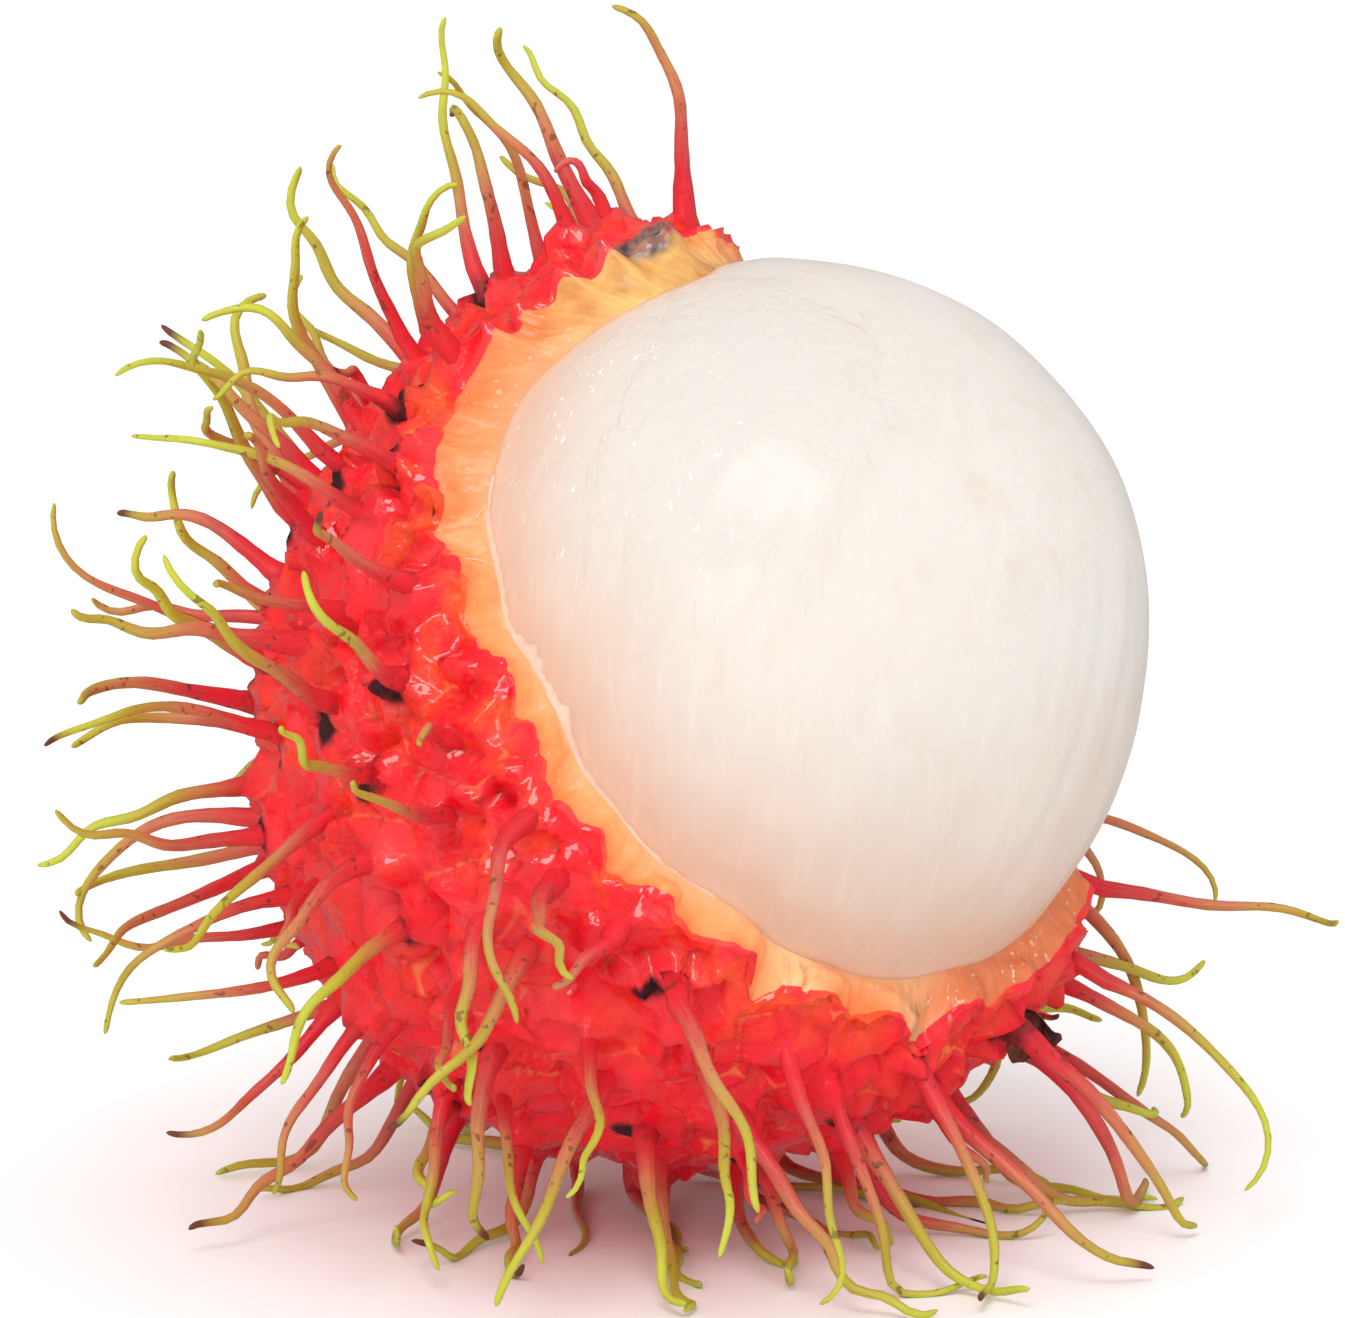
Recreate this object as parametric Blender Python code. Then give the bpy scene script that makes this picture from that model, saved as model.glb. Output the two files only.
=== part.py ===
"""A half-peeled rambutan, lying on its soft spines.

Two pieces: the rind, a cup torn open at one end and covered in spines that grow from it, and
the egg-shaped flesh that it holds.

Everything is worked out about the fruit's centre, in metres, and then set on z = 0 with the
middle of its box over the origin. The fruit's own long axis runs out of the opening.
A place on the fruit is a direction from its centre: "lean" is its angle from that axis
(0 at the flesh's free end, pi at the bottom of the cup) and "turn" its angle round the axis
(0 on top, a quarter turn towards the front).
"""

import math

import bmesh
import bpy
import numpy as np
from mathutils import Matrix, Vector

MM = 0.001

# The flesh: an egg with blunt ends
FLESH_RADIUS = 15.0 * MM
FLESH_HALF_LENGTH = 18.2 * MM
BLUNTNESS = 2.15
FLESH_COLOUR = (0.93, 0.86, 0.78)

# The rind, as heights above the flesh: its hollow, its inner lip and its skin, which rises to a
# knob under each spine, sinks to a furrow between knobs and is thinner near the torn edge
GAP = 0.3 * MM
LIP_TOP = 0.5 * MM
SKIN_TOP = 2.4 * MM
KNOB_RISE = 0.5 * MM
FURROW_DEPTH = 0.25 * MM
EDGE_THINNING = 0.9 * MM
THINNING_REACH = math.radians(13.0)
RIND_COLOUR = (0.72, 0.03, 0.05)

# How the fruit lies: its axis points forward (-Y), to the right and upward
AXIS_TURN = math.radians(37.6)
AXIS_RISE = math.radians(41.8)
CENTRE_HEIGHT = 21.6 * MM

# The torn opening: the lean of its inner lip as a mean and waves round the axis, each wave
# given by its count, its height and the turn of its crest, in degrees, and the band of bare
# pith from the lip out to the skin's toothed edge, which is wider at the top
LIP_MEAN = 76.6
LIP_WAVES = ((1, 21.2, -118.7), (2, 10.8, -151.5), (3, 5.1, -172.6), (4, 2.7, -131.5), (5, 1.8, -154.0))
LIP_RIPPLES = ((9, 0.6, 30.0), (17, 0.4, 80.0))
BAND = math.radians(2.8)
BAND_EXTRA = math.radians(8.0)
BAND_EXTRA_TURN = math.radians(32.0)
TEETH = 27
TEETH_SEED = 5
TOOTH_HEIGHT = math.radians(4.5)
CUTTER_REACH = 34.0 * MM

# The spines: one on every knob of the rind. Comb, sideways and droop are shares of the outward
# direction, curl and hook are bends in radians over the whole length
KNOBS = 312
KNOB_SCATTER = 0.028
SPINE_SEED = 435
SPINE_LENGTH = (8.5 * MM, 14.0 * MM)
SPINE_GIRTH = (0.85, 1.2)
SPINE_COMB = (0.0, 0.75)
SPINE_SIDEWAYS = 0.2
SPINE_CURL = (0.45, 2.5)
SPINE_HOOK = 13.0
SPINE_DROOP = (0.0, 0.8)
BACK_COMB = 1.3
STUB_SHARE = 0.08
STUB_LENGTH = (0.3, 0.5)
SPINE_RADIUS = 0.36 * MM
TIP_RADIUS = 0.19 * MM
ROOT_RADIUS = 0.95 * MM
ROOT_DEPTH = 0.75 * MM
ROOT_FROM_EDGE = math.radians(4.5)
SPINE_CLEARANCE = 1.1 * MM
SPINE_PRESSED = 0.15 * MM
LANDING = 2.0 * MM
SPINE_STEPS = 24
SPINE_SIDES = 3
KEPT_STEPS = (0, 2, 5, 10, 17, 24)
ROUNDING = 1.3


# ---------------------------------------------------------------- the fruit's shape


def unit_of(vectors):
    return vectors / np.maximum(np.linalg.norm(vectors, axis=-1, keepdims=True), 1e-12)


def fruit_axes():
    """Columns: the upward, the sideways and the outgoing axis of the fruit, in world axes."""
    out = np.array(
        [
            math.sin(AXIS_TURN) * math.cos(AXIS_RISE),
            -math.cos(AXIS_TURN) * math.cos(AXIS_RISE),
            math.sin(AXIS_RISE),
        ]
    )
    up = unit_of(np.array([0.0, 0.0, 1.0]) - out[2] * out)
    return np.stack([up, np.cross(out, up), out], axis=1)


def direction(lean, turn):
    """The unit vector of a place on the fruit, in the fruit's own axes."""
    return np.stack([np.sin(lean) * np.cos(turn), np.sin(lean) * np.sin(turn), np.cos(lean)], axis=-1)


def lean_and_turn(points):
    """The lean and turn of points in the fruit's own axes."""
    across = np.hypot(points[..., 0], points[..., 1])
    return np.arctan2(across, points[..., 2]), np.arctan2(points[..., 1], points[..., 0])


def egg_radius(unit, height):
    """The distance from the centre to the blunt egg that lies this high over the flesh."""
    across = np.hypot(unit[..., 0], unit[..., 1]) / (FLESH_RADIUS + height)
    along = np.abs(unit[..., 2]) / (FLESH_HALF_LENGTH + height)
    return (across**BLUNTNESS + along**BLUNTNESS) ** (-1.0 / BLUNTNESS)


def egg_normal(unit, height):
    """The outward normal of that egg: the gradient of its power sum."""
    points = unit * egg_radius(unit, height)[..., None]
    across = np.hypot(points[..., 0], points[..., 1])
    pull = (across / (FLESH_RADIUS + height)) ** (BLUNTNESS - 1.0) / (FLESH_RADIUS + height)
    along = np.abs(points[..., 2]) / (FLESH_HALF_LENGTH + height)
    rise = along ** (BLUNTNESS - 1.0) / (FLESH_HALF_LENGTH + height) * np.sign(points[..., 2])
    spread = pull / np.maximum(across, 1e-9)
    normal = np.stack([points[..., 0] * spread, points[..., 1] * spread, rise], axis=-1)
    return unit_of(normal)


def lip_lean(turn):
    """The lean of the opening's inner lip: high at the top, low at the back, and wavy."""
    lean = LIP_MEAN + 0.0 * turn
    for count, height, crest in LIP_WAVES + LIP_RIPPLES:
        lean = lean + height * np.cos(count * turn - math.radians(crest))
    return np.radians(lean)


def skin_lean(turn):
    """The lean of the skin's torn edge: past the lip by the band of bare pith, with pointed teeth."""
    draw = np.random.default_rng(TEETH_SEED)
    knots = np.arange(2 * TEETH) * math.pi / TEETH
    knots += draw.uniform(-0.3, 0.3, 2 * TEETH) * math.pi / TEETH
    heights = draw.uniform(0.15, 1.0, 2 * TEETH) * np.where(np.arange(2 * TEETH) % 2, 0.5, -0.5)
    teeth = TOOTH_HEIGHT * np.interp(turn % (2 * math.pi), knots, heights, period=2 * math.pi)
    extra = BAND_EXTRA * ((1.0 + np.cos(turn - BAND_EXTRA_TURN)) / 2.0) ** 12
    return lip_lean(turn) + BAND + extra + teeth


def skin_height(lean, turn):
    """The height of the skin over the flesh, less near its torn edge."""
    from_edge = np.maximum(lean - skin_lean(turn), 0.0)
    return SKIN_TOP - EDGE_THINNING * np.exp(-from_edge / THINNING_REACH)


def knob_directions():
    """Unit vectors spread evenly over the fruit on a golden-angle spiral, and nudged at random."""
    draw = np.random.default_rng(SPINE_SEED)
    count = np.arange(KNOBS)
    cosine = 1.0 - 2.0 * (count + 0.5) / KNOBS
    turn = count * math.pi * (3.0 - math.sqrt(5.0))
    unit = direction(np.arccos(cosine), turn)
    return unit_of(unit + draw.normal(0.0, KNOB_SCATTER, unit.shape))


# ---------------------------------------------------------------- the spines' paths


def push_clear(points, clearance, axes):
    """Moves points that lie under an egg this high over the flesh straight out to it."""
    local = points @ axes
    distance = np.linalg.norm(local, axis=-1)
    wanted = egg_radius(local / distance[:, None], clearance)
    return points * (np.maximum(distance, wanted) / distance)[:, None]


def spine_paths():
    """The spines' centre lines about the fruit's centre, in world axes, and their radii.

    Each starts in the skin and leaves along the surface's normal, combed towards the opening in
    front and away from it at the back. It droops, curls more and more towards its tip, and bends
    flat where it meets the ground.
    """
    axes = fruit_axes()
    unit = knob_directions()
    lean, turn = lean_and_turn(unit)
    unit = unit[lean > skin_lean(turn) + ROOT_FROM_EDGE]
    count = len(unit)
    draw = np.random.default_rng(SPINE_SEED)
    length = draw.uniform(*SPINE_LENGTH, count)
    girth = draw.uniform(*SPINE_GIRTH, count)
    comb = draw.uniform(*SPINE_COMB, count)
    sideways = draw.normal(0.0, SPINE_SIDEWAYS, count)
    curl_turn = draw.uniform(0.0, 2.0 * math.pi, count)
    curl = draw.uniform(*SPINE_CURL, count)
    hook = SPINE_HOOK * draw.uniform(0.0, 1.0, count) ** 2
    droop = draw.uniform(*SPINE_DROOP, count)
    stub = draw.uniform(0.0, 1.0, count) < STUB_SHARE
    length = np.where(stub, length * draw.uniform(*STUB_LENGTH, count), length)

    normal = egg_normal(unit, SKIN_TOP) @ axes.T
    meridian = unit_of(axes[:, 2] - normal * (normal @ axes[:, 2:]))
    beside = np.cross(normal, meridian)
    comb = comb - BACK_COMB * np.clip(normal[:, 1] - 0.3, 0.0, 1.0)
    heading = unit_of(normal + comb[:, None] * meridian + sideways[:, None] * beside)
    side = unit_of(np.cross(heading, meridian))
    curl_axis = np.cos(curl_turn)[:, None] * side + np.sin(curl_turn)[:, None] * np.cross(side, heading)
    lowest = -CENTRE_HEIGHT
    step = length / SPINE_STEPS
    root = egg_radius(unit, SKIN_TOP + KNOB_RISE / 2)[:, None] * (unit @ axes.T)
    point = root - ROOT_DEPTH * normal
    path = [point]
    for k in range(1, SPINE_STEPS + 1):
        share = k / SPINE_STEPS
        bend = (curl * share + hook * max(0.0, share - 0.65)) / SPINE_STEPS
        heading = heading + np.cross(curl_axis, heading) * bend[:, None]
        heading = heading + meridian * (comb * math.exp(-3.0 * share) * 0.8 / SPINE_STEPS)[:, None]
        heading[:, 2] -= droop / SPINE_STEPS
        clear = point[:, 2] - lowest - SPINE_PRESSED
        heading[:, 2] = np.maximum(heading[:, 2], -clear / LANDING)
        heading = unit_of(heading)
        point = point + heading * step[:, None]
        point = push_clear(point, SKIN_TOP + min(1.0, share * 2.5) * SPINE_CLEARANCE, axes)
        point[:, 2] = np.maximum(point[:, 2], lowest + SPINE_PRESSED)
        path.append(point)
    share = np.linspace(0.0, 1.0, SPINE_STEPS + 1)
    taper = SPINE_RADIUS + (TIP_RADIUS - SPINE_RADIUS) * share**1.5
    flare = (ROOT_RADIUS - SPINE_RADIUS) * np.exp(-((share / 0.11) ** 1.4))
    radius = girth[:, None] * (taper + flare)[None, :]
    return np.stack(path, axis=1), radius


# ---------------------------------------------------------------- solids


def clear_scene():
    for obj in list(bpy.data.objects):
        bpy.data.objects.remove(obj, do_unlink=True)


def collection(name):
    made = bpy.data.collections.new(name)
    bpy.context.scene.collection.children.link(made)
    return made


def material(name, colour, roughness):
    made = bpy.data.materials.new(name)
    made.use_nodes = True
    shader = made.node_tree.nodes["Principled BSDF"]
    shader.inputs["Base Color"].default_value = (*colour, 1.0)
    shader.inputs["Roughness"].default_value = roughness
    shader.inputs["Metallic"].default_value = 0.0
    return made


def object_of(bm, name, where):
    mesh = bpy.data.meshes.new(name)
    bm.to_mesh(mesh)
    bm.free()
    obj = bpy.data.objects.new(name, mesh)
    where.objects.link(obj)
    return obj


def vertex_array(bm):
    return np.array([vertex.co for vertex in bm.verts])


def place_vertices(bm, points):
    for vertex, point in zip(bm.verts, points):
        vertex.co = point


def egg(name, where, height, segments, rings):
    """A sphere primitive drawn out to the blunt egg this high over the flesh, in world axes."""
    bm = bmesh.new()
    bmesh.ops.create_uvsphere(bm, u_segments=segments, v_segments=rings, radius=1.0)
    unit = unit_of(vertex_array(bm))
    place_vertices(bm, (unit * egg_radius(unit, height)[:, None]) @ fruit_axes().T)
    return object_of(bm, name, where)


def knobbly_egg(name, where):
    """The skin's outside: a hull with a corner on every knob, split once, knobs up and furrows down."""
    bm = bmesh.new()
    knobs = knob_directions()
    for unit in knobs:
        bm.verts.new(Vector(unit))
    bmesh.ops.convex_hull(bm, input=bm.verts)
    bmesh.ops.subdivide_edges(bm, edges=bm.edges, cuts=1, use_grid_fill=True)
    bmesh.ops.triangulate(bm, faces=bm.faces)
    unit = unit_of(vertex_array(bm))
    on_knob = (unit @ knobs.T).max(axis=1) > 1.0 - 1e-6
    height = skin_height(*lean_and_turn(unit)) + np.where(on_knob, KNOB_RISE, -FURROW_DEPTH)
    place_vertices(bm, (unit * egg_radius(unit, height)[:, None]) @ fruit_axes().T)
    bmesh.ops.recalc_face_normals(bm, faces=bm.faces)
    return object_of(bm, name, where)


def opening_cutter(name, where):
    """A sphere primitive whose rings follow the torn face, from inside the lip to past the skin."""
    bm = bmesh.new()
    bmesh.ops.create_uvsphere(bm, u_segments=2 * TEETH, v_segments=5, radius=1.0)
    lean, turn = lean_and_turn(vertex_array(bm))
    ring = np.rint((math.pi - lean) / math.pi * 5).astype(int)
    lip = direction(lip_lean(turn), turn)
    edge = direction(skin_lean(turn), turn)
    lip_radius = egg_radius(lip, LIP_TOP)[:, None]
    edge_radius = egg_radius(edge, SKIN_TOP)[:, None]
    middle = np.zeros_like(lip)
    far = middle + [0.0, 0.0, CUTTER_REACH]
    rings = [middle, lip * lip_radius * 0.9, lip * lip_radius, edge * edge_radius, edge * CUTTER_REACH, far]
    place_vertices(bm, np.stack(rings)[ring, np.arange(len(ring))] @ fruit_axes().T)
    bmesh.ops.recalc_face_normals(bm, faces=bm.faces)
    return object_of(bm, name, where)


def cross_frames(path):
    """Two unit vectors across the path at each of its points, carried along without twisting."""
    along = unit_of(np.gradient(path, axis=0))
    across = unit_of(np.cross(along[0], [0.3, 0.5, 0.8]))
    first = []
    for tangent in along:
        across = unit_of(across - tangent * (across @ tangent))
        first.append(across)
    first = np.array(first)
    return first, np.cross(along, first)


def spine(name, where, path, radius):
    """A cone primitive with few sides, cut into rings that are carried along the path."""
    kept = list(KEPT_STEPS)
    path, radius = path[kept], ROUNDING * radius[kept, None]
    first, second = cross_frames(path)
    bm = bmesh.new()
    bmesh.ops.create_cone(bm, cap_ends=True, segments=SPINE_SIDES, radius1=1.0, radius2=1.0, depth=2.0)
    long_edges = [edge for edge in bm.edges if abs(edge.verts[0].co.z - edge.verts[1].co.z) > 1.0]
    bmesh.ops.subdivide_edges(bm, edges=long_edges, cuts=len(kept) - 2, use_grid_fill=True)
    points = vertex_array(bm)
    ring = np.rint((points[:, 2] + 1.0) / 2.0 * (len(kept) - 1)).astype(int)
    across = points[:, :1] * first[ring] + points[:, 1:2] * second[ring]
    place_vertices(bm, path[ring] + radius[ring] * across)
    return object_of(bm, name, where)


def boolean(obj, operation, other=None, group=None, solver="EXACT"):
    """Cuts or joins now, so that the helpers can go."""
    modifier = obj.modifiers.new(operation.title(), "BOOLEAN")
    modifier.operation = operation
    modifier.solver = solver
    if group is None:
        modifier.object = other
    else:
        modifier.operand_type = "COLLECTION"
        modifier.collection = group
    bpy.context.view_layer.update()
    graph = bpy.context.evaluated_depsgraph_get()
    mesh = bpy.data.meshes.new_from_object(obj.evaluated_get(graph))
    obj.modifiers.clear()
    obj.data = mesh
    for helper in list(group.objects) if group else [other]:
        bpy.data.objects.remove(helper, do_unlink=True)


def make_rind(where, helpers):
    rind = knobbly_egg("rind", where)
    boolean(rind, "DIFFERENCE", egg("hollow", helpers, GAP, 28, 14))
    boolean(rind, "DIFFERENCE", opening_cutter("opening", helpers))
    for number, (path, radius) in enumerate(zip(*spine_paths())):
        spine(f"spine_{number}", helpers, path, radius)
    boolean(rind, "UNION", group=helpers, solver="MANIFOLD")
    return rind


def trim_below_ground(obj):
    """Cuts off what the ground flattens, leaving small flat soles."""
    bm = bmesh.new()
    bm.from_mesh(obj.data)
    cut = bmesh.ops.bisect_plane(
        bm,
        geom=bm.verts[:] + bm.edges[:] + bm.faces[:],
        plane_co=(0.0, 0.0, -CENTRE_HEIGHT),
        plane_no=(0.0, 0.0, -1.0),
        clear_outer=True,
    )
    rim = [edge for edge in cut["geom_cut"] if isinstance(edge, bmesh.types.BMEdge)]
    bmesh.ops.holes_fill(bm, edges=rim)
    bmesh.ops.triangulate(bm, faces=bm.faces)
    bm.to_mesh(obj.data)
    bm.free()


def set_down(objects):
    """Moves the fruit so that z = 0 is the ground and the middle of its box is over the origin."""
    points = np.concatenate([np.array([vertex.co for vertex in obj.data.vertices]) for obj in objects])
    low, high = points.min(axis=0), points.max(axis=0)
    shift = Matrix.Translation((-(low[0] + high[0]) / 2, -(low[1] + high[1]) / 2, CENTRE_HEIGHT))
    for obj in objects:
        obj.data.transform(shift)


def main():
    clear_scene()
    fruit = collection("rambutan")
    helpers = collection("helpers")
    rind = make_rind(fruit, helpers)
    trim_below_ground(rind)
    flesh = egg("flesh", fruit, 0.0, 36, 18)
    for obj, colour, roughness in ((rind, RIND_COLOUR, 0.4), (flesh, FLESH_COLOUR, 0.25)):
        obj.data.materials.append(material(obj.name, colour, roughness))
        obj.data.shade_smooth()
        obj.data.set_sharp_from_angle(angle=math.radians(35.0))
    set_down([rind, flesh])


if __name__ == "__main__":
    main()
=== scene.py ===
"""The looks of the half-peeled rambutan: rind, spines, torn edge and flesh, on a pale studio floor.

Every surface is worked out about the fruit's centre, in metres. The fruit's own long axis runs
out of the opening. A place on the fruit is a direction from its centre: "lean" is its angle from
that axis (0 at the flesh's free end, pi at the bottom of the cup) and "turn" its angle round the
axis (0 on top, a quarter turn towards the front).
"""

import math

import bpy
import numpy as np
from bpy.props import FloatProperty, FloatVectorProperty, PointerProperty
from bpy.types import Operator, Panel, PropertyGroup
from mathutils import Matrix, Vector


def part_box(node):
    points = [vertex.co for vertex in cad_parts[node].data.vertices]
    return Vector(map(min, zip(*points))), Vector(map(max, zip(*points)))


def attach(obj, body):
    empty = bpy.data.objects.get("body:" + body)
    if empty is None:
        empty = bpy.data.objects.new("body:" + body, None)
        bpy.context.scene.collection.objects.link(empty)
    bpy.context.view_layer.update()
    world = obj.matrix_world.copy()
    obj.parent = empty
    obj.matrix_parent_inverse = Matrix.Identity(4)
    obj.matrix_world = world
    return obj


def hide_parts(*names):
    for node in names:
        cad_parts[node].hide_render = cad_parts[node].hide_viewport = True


bl_info = {
    "name": "Half-peeled rambutan",
    "version": (1, 0, 0),
    "blender": (4, 5, 0),
    "location": "3D View > Sidebar > Rambutan",
    "description": "Builds the rind, spines, torn edge and flesh of a half-peeled rambutan",
    "category": "Add Mesh",
}

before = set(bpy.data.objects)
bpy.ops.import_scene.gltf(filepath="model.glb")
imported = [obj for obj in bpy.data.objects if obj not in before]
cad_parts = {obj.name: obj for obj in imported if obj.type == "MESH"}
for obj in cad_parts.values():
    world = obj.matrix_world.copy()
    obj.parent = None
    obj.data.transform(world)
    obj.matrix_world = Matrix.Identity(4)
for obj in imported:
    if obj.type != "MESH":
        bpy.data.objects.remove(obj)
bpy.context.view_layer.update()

MM = 0.001
TAU = 2.0 * math.pi
CENTRE = (np.array(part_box("flesh")[0]) + np.array(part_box("flesh")[1])) / 2.0

# The flesh: an egg with blunt ends, and its rough distance from the centre at the lip
FLESH_RADIUS = 15.0 * MM
FLESH_HALF_LENGTH = 18.2 * MM
BLUNTNESS = 2.15
LIP_RADIUS = 16.0 * MM

# The rind, as heights above the flesh
HOLLOW = 0.3 * MM
LIP_HEIGHT = -0.08 * MM
LIP_CONTACT = -0.1 * MM
SKIN_TOP = 2.4 * MM
KNOB_RISE = 0.5 * MM
EDGE_THINNING = 0.9 * MM
THINNING_REACH = math.radians(13.0)

# How the fruit lies: its axis points forward (-Y), to the right and upward
AXIS_TURN = math.radians(37.6)
AXIS_RISE = math.radians(41.8)
CENTRE_HEIGHT = float(CENTRE[2])

# The torn opening: its inner lip as a mean and waves round the axis (count, height, turn of the
# crest), in degrees, and the band of bare pith out to the skin's toothed edge
LIP_MEAN = 76.6
LIP_WAVES = ((1, 21.2, -118.7), (2, 10.8, -151.5), (3, 5.1, -172.6), (4, 2.7, -131.5), (5, 1.8, -154.0))
LIP_RIPPLES = ((9, 0.6, 30.0), (17, 0.4, 80.0))
BAND = math.radians(2.8)
BAND_EXTRA = math.radians(8.0)
BAND_EXTRA_TURN = math.radians(32.0)
TEETH = 27
TEETH_SEED = 5
TOOTH_HEIGHT = math.radians(4.5)
RAG_DEPTH = math.radians(0.6)
SPIKES = 44
SPIKE_HEIGHT = 2.7 * MM
SPIKE_REACH = math.radians(1.5)
TONGUE_REACH = math.radians(5.0)

# Marks round the opening: the turn of each one's middle and its width, in degrees, and its strength
MARKS = {
    "spikes": ((42.0, 22.0, 0.9),),
    "tongues": ((151.0, 2.5, 0.6), (179.0, 3.0, 1.0)),
    "tufts": ((157.0, 5.0, 1.0), (178.0, 6.0, 1.0), (30.0, 14.0, 0.25), (72.0, 8.0, 0.35)),
    # deep: the pith's own deeper orange round 205 degrees; round 48 degrees it is painted shade on the upper
    # side of the torn pith
    "deep": ((205.0, 26.0, 1.3), (48.0, 28.0, 0.4)),
    "olive": ((18.0, 15.0, 1.2),),
    "scar": ((16.0, 9.0, 1.0),),
    # cool: where the flesh's warm tint, with its painted shade near the lip, is held back
    "cool": ((-5.0, 45.0, 0.8),),
    "dashes": ((66.0, 30.0, 0.85),),
    "flaps": ((94.0, 4.0, 0.3), (103.0, 5.0, 0.4), (80.0, 7.0, 0.15)),
}

# The spines: one on every knob of the rind
KNOBS = 312
KNOB_SCATTER = 0.028
SPINE_SEED = 435
SPINE_LENGTH = (8.5 * MM, 14.0 * MM)
SPINE_GIRTH = (0.85, 1.2)
SPINE_COMB = (0.0, 0.75)
SPINE_SIDEWAYS = 0.2
SPINE_CURL = (0.45, 2.5)
SPINE_HOOK = 13.0
SPINE_DROOP = (0.0, 0.8)
BACK_COMB = 1.3
STUB_SHARE = 0.08
STUB_LENGTH = (0.3, 0.5)
SPINE_RADIUS = 0.36 * MM
TIP_RADIUS = 0.19 * MM
ROOT_RADIUS = 0.95 * MM
ROOT_DEPTH = 0.75 * MM
ROOT_FROM_EDGE = math.radians(4.5)
SPINE_CLEARANCE = 1.1 * MM
SPINE_PRESSED = 0.15 * MM
LANDING = 2.0 * MM
SPINE_STEPS = 24
SPINE_SIDES = 8

# Spines as they look: tips cut back (number: share kept), sway, factors on the girth at root and
# tip, the last rings (share of the length, share of the girth), the most that each of the first
# rings stands over the skin, and how many spines have a dried tip
TRIMMED = {1: 0.95, 47: 0.97, 49: 0.95, 60: 0.92, 80: 0.97, 100: 0.93, 101: 0.94}
SWAY = 0.28 * MM
ROOT_SHARE, TIP_SHARE = 1.12, 0.78
TIP_RINGS = ((0.972, 0.97), (0.989, 0.78), (0.998, 0.42))
SUNK_RINGS = (-0.35 * MM, 0.0, 0.35 * MM, 0.75 * MM)
DRIED_SHARE = 0.16

# How finely the surfaces are divided
RIND_TURNS = 600
OUTER_ROWS = 126
FACE_ROWS = 20
INNER_ROWS = 10
FLESH_TURNS = 360
FLESH_ROWS = 190
FLOOR_TURNS = 96

# The finer life of the rind. The fades are shares of the way between the cup's bottom and its edge
LOOKS_SEED = 71
SKIN_RADIUS = 17.6 * MM
FACETS = 1700
FACET_TILT = 0.38
FACET_SHARPNESS = 5200.0
KNOB_SHARPNESS = 620.0
PIT_SHARE = 0.14
PIT_DEPTH = 0.32 * MM
KNOB_SWELL = 0.06 * MM
SEAM_DEPTH = 0.16 * MM
CONE_HEIGHT = (0.75 * MM, 1.35 * MM)
CONE_WIDTH = 1.15 * MM
ROOT_WIDTH = 1.0 * MM
STAIN_SHARE = 0.5
STAIN_WIDTH = 0.75 * MM
STAIN_SHIFT, STAIN_SCATTER = 0.055, 0.012
SHIFT_FADE, PEEL_FADE, CALM_FADE, LIP_FADE = 0.045, 0.035, 0.03, 0.03
EDGE_GLOW = 1.6 * MM
SCAR_REACH = 1.3 * MM

# The finer life of the flesh
STREAK_POLE = (math.radians(34.7), math.radians(-34.8))
FURROWS = 26
# The wet spots are directions, in world axes, where the key light's highlight falls on the flesh; there it is
# glossier, and painted darker as painted shade
WET_SPOTS = ((-0.08, -0.83, 0.56), (0.10, -0.64, 0.77), (-0.12, -0.33, 0.94))
WET_SIZES = (1.0, 0.8, 0.5)
WET_WIDTH = 0.3
DASH_LEAN, DASH_SPREAD = 0.78, 0.3

# The torn edge's small things
FIBRE_TRIES = 4000
FIBRE_SHARE = 0.16
FILM_START, FILM_SPAN, FILM_STEPS = 62.0, 78.0, 260
FILM_TUCK = 0.25 * MM
SCRAP_TURNS = (204.0, 208.0)
SCRAP_FROM_EDGE = (2.4 * MM, 3.2 * MM)
SCRAP_SIZES = (1.1 * MM, 1.0 * MM)

# Fixed colours
# Painted shade: the deeper red that the skin is painted towards the floor
PAINTED_SHADE_LOW_RED = (0.88, 0.004, 0.028)
STAIN_BLACK = (0.022, 0.008, 0.010)
CRUST_DARK = (0.07, 0.045, 0.055)
CRUST_BROWN = (0.46, 0.22, 0.15)
CRUST_GREY = (0.42, 0.31, 0.27)
TUFT_CREAM = (0.98, 0.62, 0.30)
# The pith's deeper orange, also painted as shade on the upper side of the torn pith
PITH_DEEP_AND_SHADED = ((0.62, 0.13, 0.05), (0.85, 0.26, 0.11))
PITH_OLIVE = ((0.48, 0.19, 0.05), (0.82, 0.52, 0.15))
PITH_SPECK = (1.0, 0.78, 0.58)
SPINE_BROWN = (0.22, 0.045, 0.035)
SPINE_SPECK = (0.10, 0.035, 0.012)
SPINE_DRIED = (0.16, 0.05, 0.025)
FLESH_STREAK = (0.90, 0.86, 0.82)
FLESH_PATCH = (0.78, 0.71, 0.70)
# Painted shade: the darker flesh where the key light's highlight falls
FLESH_DARKENED_AT_HIGHLIGHT = (0.655, 0.615, 0.57)
# Painted bounce light: orange from the pith painted on the flesh along the lip
FLESH_PAINTED_BOUNCE = (0.98, 0.56, 0.36)
FLESH_DASH = (0.97, 0.94, 0.91)
SHRED_COLOURS = ((0.98, 0.88, 0.76), (0.98, 0.52, 0.24))
SCRAP_COLOURS = ((0.03, 0.009, 0.008), (0.28, 0.07, 0.03))
FLOOR_CLOUD = (0.95, 0.95, 0.95)

# The camera and the lamps: right, up and back from the fruit's centre as the camera sees them
CAMERA_FALL = math.radians(11.0)
LAMP_DISTANCE = 1.9
KEY_PLACE, KEY_SIZE = (-0.11, 0.68, 0.73), 0.9
FRONT_PLACE, FRONT_SIZE = (-0.25, 0.1, 1.0), 0.7
GLOSSY_FILL = 0.22
AIM_LEFT, AIM_UP = 2.5 * MM, 0.89 * MM


# ---------------------------------------------------------------- the fruit's shape


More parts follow.
